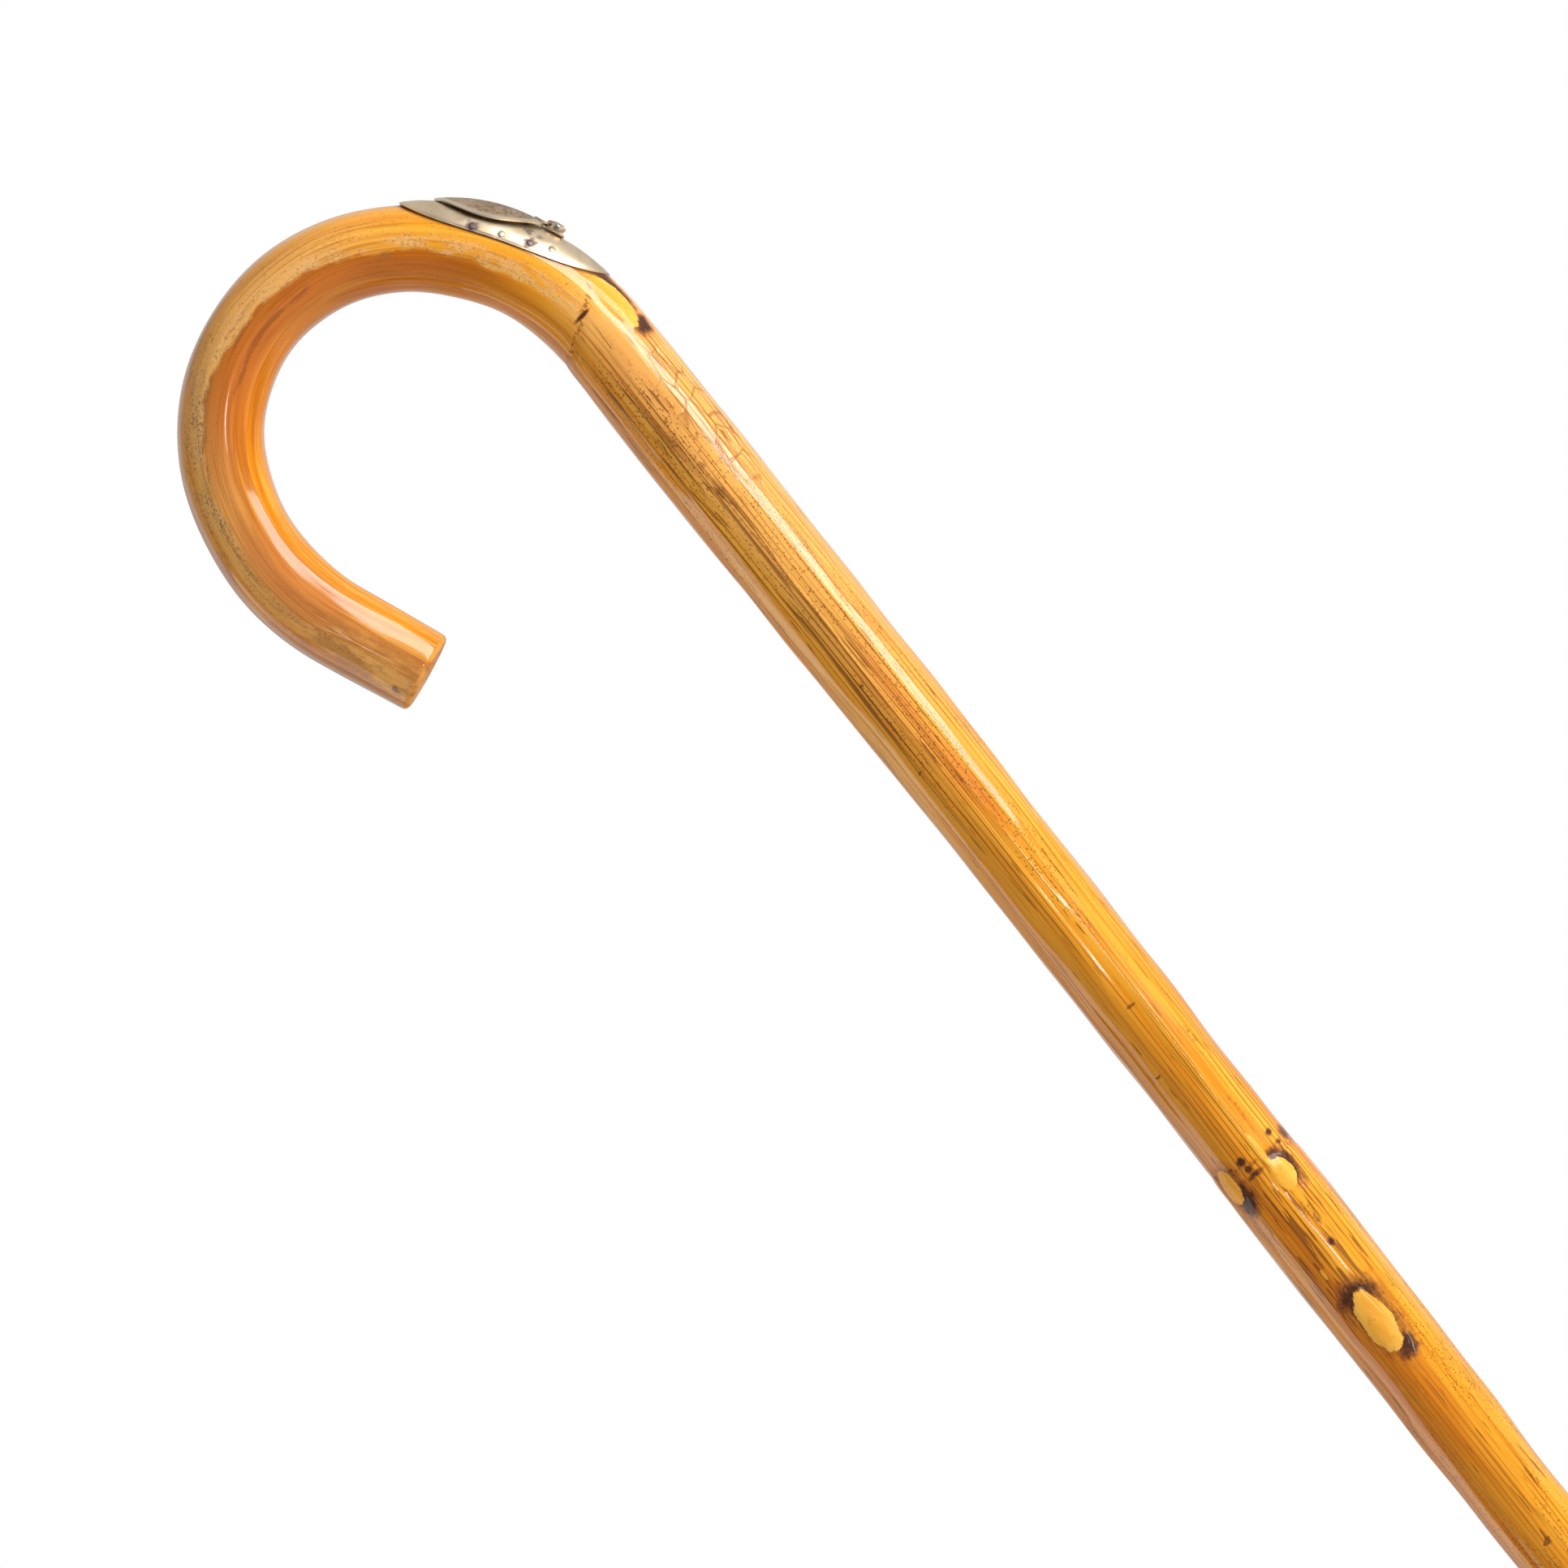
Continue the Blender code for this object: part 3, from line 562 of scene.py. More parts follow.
def wood_finish():
    """Amber varnished wood: long fibres, a worn and stained handle, trimmed branch scars and dark rings."""
    w = Wood()
    streaks = w.fibres(520, 12, detail=4, roughness=0.6)
    lines = w.fibres(1700, 26, 3, roughness=0.5)
    drift = w.fibres(100, 12, 7)
    blotch = w.fibres(240, 80, 11, detail=4, roughness=0.6)

    stops = [(0.30, rgb(226, 136, 16)), (0.46, rgb(244, 160, 30))]
    stops += [(0.60, rgb(252, 176, 48)), (0.78, rgb(255, 190, 76))]
    colour = w.ramp(streaks, stops)
    w.colour = w.mix(w.step(drift, 0.50, 0.66), colour, w.mix(1.0, colour, rgb(240, 214, 170), "MULTIPLY"))
    paint_shaft_light_shade_and_pale_crook(w)
    paint_grooves(w, lines)
    worn = paint_handle(w)
    paint_shaft(w, lines)
    cracks = paint_cracks(w)
    bare, char = paint_scars(w, blotch)
    end_grain = w.past(NOSE_END - 0.0012, NOSE_END - 0.0006)
    cut = w.mix(w.step(blotch, 0.40, 0.62), rgb(232, 158, 66), rgb(190, 112, 36))
    w.put("Base Color", w.mix(end_grain, w.colour, cut))
    w.put("Roughness", w.mix_value(w.any_of(bare, worn, end_grain), 0.38, 0.6))
    dull = w.any_of(w.times(bare, 0.6), w.times(char, 0.7), worn, end_grain)
    w.put("Coat Weight", w.mix_value(dull, 1.0, 0.25))

    deep = w.times(cracks, 1.5)
    flutes = w.times(w.fibres(380, 7, 51, detail=1), w.mix_value(w.on_shaft, 0.5, 1.0))
    threads = w.times(w.fibres(700, 6, 55, detail=1), w.mix_value(w.on_shaft, 0.2, 0.6))
    threads = w.times(threads, w.past(-0.260, -0.140))
    dents = w.fibres(210, 90, 53, detail=1.0)
    smooth = w.plus(w.plus(flutes, threads), w.times(dents, 0.6))
    w.put("Coat Normal", w.bump(w.minus(smooth, deep), 0.6, 0.00012))
    return w.material


def paint_shaft_light_shade_and_pale_crook(w):
    """The shaft's painted highlight, a paler colour on its side towards the key light below the neck; its painted
    shade, a deeper amber on the side away from that light, stronger lower down; and the paler outside of the crook.
    """
    # Painted highlight: the shaft's side towards the key light is painted paler, from the neck down to about 170 mm
    # below it.
    top = w.all_of(w.beside(-0.0075, -0.0015), w.past(-0.170, -0.040), w.past(0.020, 0.0))
    w.lay(top, 0.46, rgb(255, 198, 122))
    # Painted shade: the shaft's side away from the key light is painted a deeper amber, more so lower down.
    low = w.all_of(w.beside(0.0020, -0.0040), w.on_shaft)
    low = w.times(low, w.mix_value(w.past(-0.070, -0.260), 0.08, 0.46))
    w.lay(low, 1.0, rgb(206, 114, 4))
    outside = w.all_of(w.beside(-0.0055, 0.0), w.past(0.045, 0.085))
    outside = w.times(outside, w.mix_value(w.beside(0.0040, 0.0075), 0.52, 0.12))
    w.lay(outside, 1.0, rgb(255, 200, 130))


def paint_grooves(w, lines):
    """The shaft's fine regular grooves and the short dark ticks in its grain, which crowd below each ring."""
    sway = w.fibres(70, 6, 21, detail=2)
    ridge = w.math("SINE", w.plus(w.times(w.angle, 50), w.times(sway, 16)))
    broken = w.fibres(300, 14, 23)
    grooves = w.all_of(w.step(ridge, 0.50, 0.95), w.step(broken, 0.40, 0.52), w.on_shaft)
    uneven = w.mix_value(w.step(w.fibres(130, 10, 25, detail=2), 0.40, 0.60), 0.45, 0.95)
    w.lay(grooves, uneven, rgb(178, 96, 12))
    hair = w.all_of(w.step(lines, 0.45, 0.36), w.mix_value(w.on_shaft, 0.40, 0.42))
    w.lay(hair, 1.0, rgb(160, 84, 12))

    below = []
    for place, _ in RINGS:
        start = w.past((place + 0.5) * MM, (place - 3) * MM)
        below.append(w.times(start, w.past((place - 95) * MM, (place - 25) * MM)))
    upper = w.past(-0.170, -0.200)
    below = w.times(w.any_of(*below), w.mix_value(upper, 0.45, 1.0))
    tick = w.fibres(1350, 80, 31, detail=1.5)
    crowd = w.fibres(150, 16, 33, detail=2)
    reach = w.times(below, w.step(crowd, 0.36, 0.56))
    ticks = w.step(w.plus(tick, w.times(reach, 0.10)), 0.660, 0.70)
    ticks = w.all_of(ticks, w.on_shaft)
    w.lay(ticks, 0.72, rgb(116, 60, 14))


def paint_handle(w):
    """The crook's zones: deep amber inside a ragged worn edge, and paler speckled wood outside it."""
    wobble = w.fibres(95, 52, 5, detail=6, roughness=0.68)
    ragged = w.swing(wobble, 0.0070)
    slant = {"Value": w.along, "From Min": 0.060, "From Max": 0.112, "To Min": -0.0019, "To Max": 0.0030}
    edge = w.add("ShaderNodeMapRange", slant).outputs[0]
    patchy = w.fibres(420, 130, 8, detail=5, roughness=0.7)
    ragged = w.plus(ragged, w.swing(patchy, 0.0026))
    side = w.minus(w.plus(w.across, ragged), edge)
    speckle = w.fibres(2300, 1700, 2, detail=4, roughness=0.75)
    middle = w.past(0.150, 0.128)

    inner = w.all_of(w.step(side, 0.0006, -0.0007), w.past(0.010, 0.045))
    far_inside = w.beside(-0.0045, -0.0075)
    deep = w.times(inner, w.mix_value(w.past(0.100, 0.140), 0.85, 0.35))
    w.lay(deep, w.mix_value(far_inside, 1.0, 0.6), rgb(196, 97, 0))
    reddish = w.all_of(inner, w.step(w.fibres(900, 30, 41, detail=5), 0.52, 0.68))
    w.lay(reddish, 0.35, rgb(160, 78, 14))
    fine = w.all_of(inner, w.step(w.fibres(1500, 40, 45, detail=4), 0.50, 0.62))
    w.lay(fine, 0.35, rgb(170, 84, 12))

    outer = w.all_of(w.step(side, 0.0035, 0.0065), w.past(0.070, 0.115))
    w.lay(outer, 0.45, rgb(204, 128, 44))
    under = w.all_of(w.step(side, 0.0030, 0.0070), w.past(0.115, 0.150))
    w.lay(under, 0.55, rgb(172, 90, 10))
    khaki = w.all_of(outer, w.step(w.fibres(500, 22, 43), 0.48, 0.60))
    w.lay(khaki, 0.42, rgb(146, 82, 22))
    stripe = w.all_of(w.step(side, -0.0004, 0.0006), w.step(side, 0.0056, 0.0020), w.on_crook, middle)
    worn = w.all_of(stripe, w.step(patchy, 0.40, 0.60))
    w.lay(worn, 0.55, rgb(246, 198, 136))
    lip = w.all_of(w.step(w.math("ABSOLUTE", side), 0.0008, 0.0001), middle, w.past(0.030, 0.060))
    lip = w.all_of(lip, w.step(patchy, 0.46, 0.58))
    w.lay(lip, 0.5, rgb(128, 76, 30))

    spread = w.mix_value(w.step(side, 0.0065, 0.0), 0.0, 0.055)
    spread = w.times(spread, w.past(0.005, 0.055))
    dirt = w.step(w.plus(speckle, spread), 0.555, 0.630)
    dirt = w.all_of(dirt, w.step(patchy, 0.40, 0.56), w.on_crook, w.step(side, -0.0006, 0.0004))
    w.lay(dirt, 0.58, rgb(120, 78, 44))
    flecks = w.all_of(w.step(speckle, 0.56, 0.64), inner, w.step(patchy, 0.50, 0.62))
    w.lay(flecks, 0.5, rgb(122, 62, 14))
    streak = w.plus(w.distance(92, -19, 17, 0.6), w.swing(patchy, 4.5))
    w.lay(w.step(streak, 1.2, 0.5), 0.5, rgb(122, 60, 14))

    # Grime is heaviest outside the palm's far end, and the curl has a reddish stain.
    grime = w.all_of(w.past(0.088, 0.108), w.past(0.156, 0.138), w.step(side, 0.0, 0.0016))
    grime = w.all_of(grime, w.step(speckle, 0.50, 0.60), w.step(patchy, 0.42, 0.56))
    w.lay(grime, 0.50, rgb(112, 80, 50))
    red = w.all_of(w.past(0.134, 0.152), w.past(0.184, 0.164))
    red = w.all_of(red, w.beside(-0.0085, -0.0050), w.beside(0.0050, 0.0010))
    w.lay(red, 0.5, rgb(204, 112, 50))
    nose = w.all_of(w.past(0.152, 0.174), w.beside(-0.0045, 0.0), w.step(patchy, 0.40, 0.56))
    w.lay(nose, 0.5, rgb(176, 108, 44))
    return w.times(worn, 0.5)


def paint_shaft(w, lines):
    """The shaft's specks, and its brown and olive streaks."""
    speck = w.cells(w.scaled(w.grain, 1500, 1500, 1000, 1))
    crowd = w.fibres(170, 26, 9)
    near = w.any_of(w.step(w.fibres(60, 9, 37, detail=2), 0.52, 0.62), w.step(w.distance(-70, -2, 75, 5), 1.1, 0.7))
    specks = w.all_of(w.step(speck, 0.34, 0.20), w.step(crowd, 0.42, 0.54), near, w.on_shaft)
    w.lay(specks, 0.75, rgb(122, 70, 26))
    streak = w.step(w.fibres(90, 9, 57, detail=2), 0.50, 0.62)
    threads = w.all_of(w.step(lines, 0.48, 0.40), streak, w.step(w.distance(-90, -14, 90, 4.5), 1.2, 0.6))
    w.lay(threads, 0.7, rgb(128, 78, 16))
    olive = w.fibres(260, 15, 14, detail=5, roughness=0.65)
    olive_mask = w.all_of(w.step(olive, 0.60, 0.70), w.on_shaft)
    w.lay(olive_mask, 0.35, rgb(140, 88, 14))


def paint_cracks(w):
    """Varnish cracks: a net below the neck, and a few on the nose."""
    edge = w.cells(w.scaled(w.grain, 210, 210, 125, 17), feature="DISTANCE_TO_EDGE")
    long_edge = w.cells(w.scaled(w.grain, 330, 330, 34, 19), feature="DISTANCE_TO_EDGE")
    shaky = w.fibres(500, 400, 20, detail=3)
    shaky = w.swing(shaky, 0.10)
    net = w.step(w.plus(edge, shaky), 0.055, 0.015)
    long_net = w.step(w.plus(long_edge, shaky), 0.045, 0.012)
    area = w.step(w.distance(-28, 40, 22, 6.0), 1.05, 0.75)
    nose = w.step(w.distance(179, 15, 12, 2.4), 1.1, 0.75)
    cracks = w.all_of(w.any_of(net, w.times(long_net, 0.8)), area)
    w.lay(cracks, 0.6, rgb(140, 74, 22))
    flaked = w.all_of(long_net, nose)
    w.lay(flaked, 0.45, rgb(255, 204, 140))
    return w.any_of(cracks, flaked)


def paint_scars(w, blotch):
    """The trimmed scars: bare yellow patches, charred borders, scabs and the dark growth rings, and a painted shadow
    round the saddle's edge.
    """
    ragged = w.fibres(620, 420, 4, detail=4, roughness=0.6)
    ragged = w.minus(ragged, 0.5)
    speckle = w.fibres(1500, 800, 6, detail=3, roughness=0.65)

    def places(table, raggedness, outer, inner):
        """A mask over the places of a table, with ragged edges."""
        masks = []
        for place, angle, half_length, half_width, *darkness in table:
            distance = w.plus(w.distance(place, angle, half_length, half_width), w.times(ragged, raggedness))
            mask = w.step(distance, outer, inner)
            masks.append(w.times(mask, darkness[0]) if darkness else mask)
        return w.any_of(*masks)

    char = places(CHARS, 1.3, 1.9, 0.35)
    scab = places(SCABS, 2.4, 1.25, 0.55)
    bare = places(PATCHES, 0.55, 1.0, 0.92)
    broken = w.swing(speckle, 0.9)
    glow = w.step(char, 0.02, 0.60)
    w.lay(glow, 0.7, rgb(160, 86, 36))
    soot = w.times(w.step(w.plus(char, broken), 0.30, 1.0), w.step(char, 0.05, 0.3))
    w.lay(soot, 0.92, rgb(56, 27, 24))
    scab = w.times(w.step(w.plus(scab, broken), 0.45, 0.8), w.step(scab, 0.02, 0.2))
    w.lay(scab, 0.8, rgb(122, 66, 22))

    bands = []
    for place, slant in RINGS:
        line = w.math("MULTIPLY_ADD", w.across, -slant * MM / radius_at(place), w.along)
        away = w.plus(w.minus(line, place * MM), w.times(ragged, 0.004))
        bands.append(w.step(w.math("ABSOLUTE", away), 0.0010, 0.0003))
    ring_dark = w.times(w.any_of(*bands), w.step(speckle, 0.45, 0.58))
    w.lay(ring_dark, 0.7, rgb(112, 56, 20))

    def seat_share(value, middle, half):
        share = w.math("DIVIDE", w.math("ABSOLUTE", w.minus(value, middle)), half)
        return w.math("POWER", share, SADDLE_FULLNESS)

    # Painted shadow: the wood is darkened in a narrow band round the saddle's outline, where the plate's edge shades
    # it.
    seat = w.plus(
        seat_share(w.along, SHOULDER[0] * SADDLE_ANGLE, SHOULDER[0] * SADDLE_HALF_SPAN),
        seat_share(w.angle, math.pi / 2, SADDLE_WRAP),
    )
    w.lay(w.step(seat, 1.16, 1.03), 0.8, rgb(96, 52, 20))
    dots = w.step(w.cells(w.scaled(w.grain, 700, 700, 700, 12)), 0.22, 0.14)
    wood = w.mix(w.step(blotch, 0.4, 0.6), rgb(250, 172, 52), rgb(255, 190, 78))
    w.lay(bare, 1.0, w.mix(w.times(dots, 0.3), wood, rgb(150, 84, 30)))
    return bare, char


# ---- Saddle ----
def saddle_loops(shares, lift, sides):
    """Loops on the saddle for shares from 0 at the mouth's edge to 1 at the outer edge."""
    turn = turns(sides)
    inner = shoulder_angles(MOUTH_HALF_LENGTH * np.cos(turn), MOUTH_HALF_WIDTH * np.sin(turn), 0.5 * MM)
    power = 2 / SADDLE_FULLNESS
    along = np.sign(np.cos(turn)) * np.abs(np.cos(turn)) ** power
    across = np.sign(np.sin(turn)) * np.abs(np.sin(turn)) ** power
    outer = (SADDLE_ANGLE + SADDLE_HALF_SPAN * along, SADDLE_WRAP * across)
    loops = []
    for share in shares:
        angle = inner[0] + (outer[0] - inner[0]) * share
        wrap = inner[1] + (outer[1] - inner[1]) * share
        loops.append(shoulder_points(angle, wrap, lift(angle, wrap, share)))
    return np.array(loops)


def saddle_top(angle, wrap, share):
    """Lift of the saddle's hand-beaten face, with a dimple under each tack."""
    lift = 0.70 - 0.22 * smoothstep(0.55, 1.0, share) - 0.12 * smoothstep(0.9, 1.0, share)
    degrees, around = np.degrees(angle), np.degrees(wrap)
    lift = lift + 0.022 * np.sin(0.9 * degrees + 0.16 * around) * np.sin(0.14 * around + 0.7)
    for tack_angle, tack_wrap in TACK_PLACES:
        for sign in (-1, 1):
            away = np.hypot((degrees - tack_angle) * 1.15, (around - sign * tack_wrap) * 0.2)
            lift = lift - 0.10 * bell(away, 0, 1.3)
    return lift * MM


def build_saddle():
    sides = 200
    outward = np.concatenate([np.linspace(0, 0.9, 16), np.linspace(0.93, 1, 5)])
    upper = saddle_loops(outward, saddle_top, sides)
    lower = saddle_loops(np.linspace(1, 0, 8), lambda a, w, t: 0.06 * MM, sides)
    saddle = tube("saddle_skin", np.concatenate([upper, lower]), silver_finish(), closed=True, sharp=50)
    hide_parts("saddle_plate")
    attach(saddle, "cane")


# Tarnish on each side of the saddle, as (angle in degrees, wrap in degrees, size in mm, darkness).
SADDLE_SMUDGES = [
    (38.9, 58, 1.9, 0.85), (32.4, 58, 1.3, 0.60), (26.1, 54, 2.1, 0.9), (21.4, 47, 1.2, 0.50),
    (27.5, 38, 1.5, 0.8), (25.0, 40, 0.8, 0.6), (42.0, 40, 1.2, 0.25),
]


def silver_finish():
    """Aged nickel silver, softly polished, dark where grime lies round the tacks."""
    f = Finish("aged_silver_look", 0.30, metallic=1.0)
    place = f.own_space()
    tone = f.noise(place, 160, detail=4, roughness=0.6)
    fine = f.noise(f.scaled(place, 900, 2600, 900), detail=3)
    ragged = f.noise(f.scaled(place, 900, 900, 900, 0.3), detail=4, roughness=0.65)
    ragged = f.swing(ragged, 0.0034)
    colour = f.ramp(tone, [(0.35, rgb(222, 196, 160)), (0.65, rgb(240, 220, 190))])
    spots = []
    for angle, wrap, size, darkness in SADDLE_SMUDGES:
        for sign in (-1, 1):
            middle = tuple(shoulder_place(angle, sign * wrap, 0.6 * MM))
            away = f.plus(f.vector("LENGTH", f.vector("SUBTRACT", place, middle)), ragged)
            spots.append(f.times(f.step(away, size * MM, 0.5 * size * MM), darkness))
    dark = f.any_of(*spots)
    colour = f.mix(dark, colour, rgb(104, 90, 90))
    f.put("Base Color", colour)
    f.put("Roughness", f.mix_value(dark, f.mix_value(tone, 0.32, 0.42), 0.55))
    f.put("Normal", f.bump(fine, 0.15, 0.00006))
    return f.material


# ---- Lid ----
def lid_lift(share):
    """Lift of the lid's crest above the wood, from share -1 at the hinge to 1 at the tip."""
    return (1.64 - 0.30 * share + 0.80 * (1 - share**2)) * MM


def lid_surface(along, across, depth):
    """World points of the lid, depth below its outer face, at (along, across) in the box's frame."""
    angle, _ = shoulder_angles(along, np.zeros_like(along), 0.8 * MM)
    crest = shoulder_points(angle, np.zeros_like(angle), lid_lift(along / LID_HALF_LENGTH) - depth)
    local = out_of_frame(crest, BOX_FRAME)
    cross = LID_CROSS_RADIUS - depth
    drop = cross - np.sqrt(cross**2 - across**2)
    points = np.stack([along, across, local[..., 2] - drop], -1)
    return in_frame(points, BOX_FRAME)


def build_lid():
    sides = 160
    turn = turns(sides)
    cosine, sine = np.cos(turn), np.sin(turn)
    across_shape = np.sign(sine) * np.abs(sine) ** 1.12
    loops = []
    shares = np.concatenate([np.linspace(0.03, 0.9, 22), np.linspace(0.93, 1, 4)])
    for share in shares:
        along, across = LID_HALF_LENGTH * share * cosine, LID_HALF_WIDTH * share * across_shape
        loops.append(lid_surface(along, across, 0.10 * MM * smoothstep(0.95, 1, share)))
    for share in np.concatenate([[1.0, 0.97], np.linspace(0.9, 0.05, 9)]):
        along, across = LID_HALF_LENGTH * share * cosine, LID_HALF_WIDTH * 0.96 * share * across_shape
        loops.append(lid_surface(along, across, 0.48 * MM + np.zeros_like(along)))
    grid = np.array(loops)
    lid = tube("lid_skin", grid, lid_finish(), sharp=50)
    edge = np.zeros(grid.shape)
    edge[: len(shares), :, 0] = shares[:, None]
    edge[len(shares):, :, 0] = 1
    edge[..., 1] = across_shape[None, :]
    edge[..., 2] = cosine[None, :]
    store(lid, "edge", edge.reshape(-1, 3))
    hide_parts("lid_shell")
    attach(lid, "lid")


def lid_finish():
    """Hammered nickel silver gone brown, with a bright burnished edge."""
    f = Finish("hammered_silver_look", 0.38, metallic=1.0)
    place = f.own_space()
    rim, across, along = f.axes(f.add("ShaderNodeAttribute", attribute_name="edge").outputs["Vector"])
    tone = f.noise(place, 260, detail=5, roughness=0.65)
    pits = f.noise(place, 1500, detail=3, roughness=0.6)
    colour = f.ramp(tone, [(0.35, rgb(170, 140, 112)), (0.65, rgb(208, 180, 148))])
    freckle = f.noise(place, 1300, detail=3, roughness=0.7)
    brown = f.times(f.step(freckle, 0.46, 0.60), f.step(along, 0.75, 0.2))
    colour = f.mix(f.times(brown, 0.6), colour, rgb(104, 82, 66))
    bright = f.step(f.plus(rim, f.times(tone, 0.1)), 0.93, 1.0)
    colour = f.mix(bright, colour, rgb(232, 216, 192))
    f.put("Base Color", colour)
    f.put("Roughness", f.mix_value(bright, f.mix_value(tone, 0.36, 0.5), 0.22))
    f.put("Normal", f.bump(pits, f.mix_value(bright, 0.8, 0.1), 0.00016))
    return f.material


# ---- Small metal parts ----
def plain_metal(name, colour, roughness):
    """A small metal part's finish, a little mottled."""
    f = Finish(name, roughness, metallic=1.0)
    place = f.own_space()
    tone = f.noise(place, 700, detail=4, roughness=0.6)
    dark = tuple(0.62 * c for c in colour[:3]) + (1,)
    f.put("Base Color", f.ramp(tone, [(0.35, dark), (0.65, colour)]))
    f.put("Roughness", f.mix_value(tone, roughness + 0.08, roughness - 0.08))
    f.put("Normal", f.bump(tone, 0.3, 0.00008))
    return f.material


def dress(node, finish, bevel=0.0):
    """Gives a CAD node its finish, and rounds its edges."""
    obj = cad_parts[node]
    obj.data.materials.clear()
    obj.data.materials.append(finish)
    if bevel:
        modifier = obj.modifiers.new("soft_edges", "BEVEL")
        modifier.width = bevel
        modifier.segments = 3
        modifier.limit_method = "ANGLE"
        modifier.angle_limit = radians(35)
        modifier.harden_normals = True


def pointing(place, direction):
    """A frame at place whose Z points along direction."""
    return Matrix.Translation(place) @ direction.to_track_quat("Z", "Y").to_matrix().to_4x4()


def build_tacks(dark, bright):
    """The flat-headed tacks, hammered nearly flush into their dimples. The second and last are rubbed bright."""
    for side, sign in (("near", -1), ("far", 1)):
        for number, (angle, wrap) in enumerate(TACK_PLACES, 1):
            seat = Vector(shoulder_place(angle, sign * wrap, TACK_SEAT))
            outward = (seat - Vector(shoulder_place(angle, sign * wrap, 0))).normalized()
            head = [(0.4, -2.4), (0.45, -0.1), (0.86, 0.0), (0.84, 0.08), (0.66, 0.17), (0.3, 0.21), (0.04, 0.22)]
            name = f"saddle_tack_{side}_{number}"
            finish = bright if number % 2 == 0 else dark
            tack = lathe(name + "_look", rounded(head, 0.08), finish, pointing(seat, outward), 32)
            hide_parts(name)
            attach(tack, "cane")


# ---- Hinge ----
def merge(name, objects):
    """One object from the meshes of several."""
    union = bmesh.new()
    for obj in objects:
        union.from_mesh(obj.data)
        bpy.data.objects.remove(obj)
    mesh = bpy.data.meshes.new(name)
    union.to_mesh(mesh)
    union.free()
    return link(name, mesh)


def by_pin(name, loops, finish):
    """A body through loops in mm in the pin's frame."""
    return tube(name, in_frame(np.array(loops) * MM, PIN_FRAME), finish, sharp=40)


def build_knuckle(silver):
    """The rolled knuckle, and its tongue on the lid's outer face."""
    half = KNUCKLE_HALF_WIDTH
    roll = rounded([(0.47, -half), (0.85, -half), (0.85, half), (0.47, half), (0.47, 0)], 0.12)
    barrel = lathe("barrel", roll, silver, PIN_FRAME @ Matrix.Rotation(radians(90), 4, "X"), 48, closed=True)
    along = np.linspace(-LID_HALF_LENGTH, -LID_HALF_LENGTH + 3.4 * MM, 14)
    crest = lid_surface(along, np.zeros_like(along), np.zeros_like(along))
    crest = out_of_frame(crest, PIN_FRAME) / MM
    x = np.concatenate([[0.0, 0.4, 0.8], crest[2:, 0]])
    z = np.concatenate([[0.84, 0.84, 0.86], crest[2:, 2] + 0.36])
    width = half - 0.02 + 1.1 * smoothstep(2.1, 3.1, x)
    width = width * np.sqrt(np.clip((x[-1] + 0.05 - x) / 1.6, 0, 1))
    across = np.linspace(-1, 1, 17)
    curve = LID_CROSS_RADIUS / MM
    loops = []
    for centre, height, reach in zip(x, z, width):
        drop = (curve - np.sqrt(curve**2 - (reach * across) ** 2)) * smoothstep(1.2, 2.6, centre)
        edge = 0.12 * np.abs(across) ** 6
        top = np.stack([np.full(17, centre), reach * across, height - drop - edge], -1)
        under = np.stack([np.full(17, centre), 0.97 * reach * across, height - drop - 0.38], -1)
        loops.append(np.concatenate([top, under[::-1]]))
    tongue = by_pin("tongue", loops, silver)
    web = [(0.4, -0.5), (2.3, -0.56), (2.7, 0.4), (2.2, 0.86), (0.4, 0.84), (0.4, 0)]
    web = rounded([web[-1], *web], 0.15)
    loops = [[(x, y, z) for x, z in web] for y in (-half + 0.04, half - 0.04)]
    arm = by_pin("arm", loops, silver)
    knuckle = merge("knuckle_skin", [barrel, tongue, arm])
    knuckle.data.materials.append(silver)
    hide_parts("lid_knuckle")
    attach(knuckle, "lid")


def build_bracket(silver):
    """The waisted ears on both sides of the knuckle, on one foot."""
    waist = [(1.45, -0.5), (1.4, -0.05), (1.75, 0.3), (1.7, 0.8), (1.1, 1.05), (0, 1.08)]
    half = np.array(rounded([(0, -1.32), (2.15, -1.32), (2.2, -0.86), *waist], 0.3))
    outline = np.concatenate([half, (half * (-1, 1))[-2:0:-1]])
    parts = []
    for sign in (-1, 1):
        loops = []
        for y, shrink in ((1.62, 0.10), (1.70, 0.0), (2.55, 0.0), (2.72, 0.05), (2.80, 0.16)):
            inward = outline * (1 - shrink / 1.8)
            loops.append(np.stack([inward[:, 0], np.full(len(inward), sign * y), inward[:, 1]], -1))
        parts.append(by_pin("ear", loops, silver))
    foot = rounded([(-2.1, -1.32), (3.6, -1.38), (3.4, -0.98), (2.1, -0.86), (-2.1, -1.0), (-2.1, -1.2)], 0.1)
    loops = [[(x, y, z) for x, z in foot] for y in (-2.5, 2.5)]
    parts.append(by_pin("foot", loops, silver))
    bracket = merge("bracket_skin", parts)
    bracket.data.materials.append(silver)
    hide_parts("hinge_bracket")
    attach(bracket, "cane")


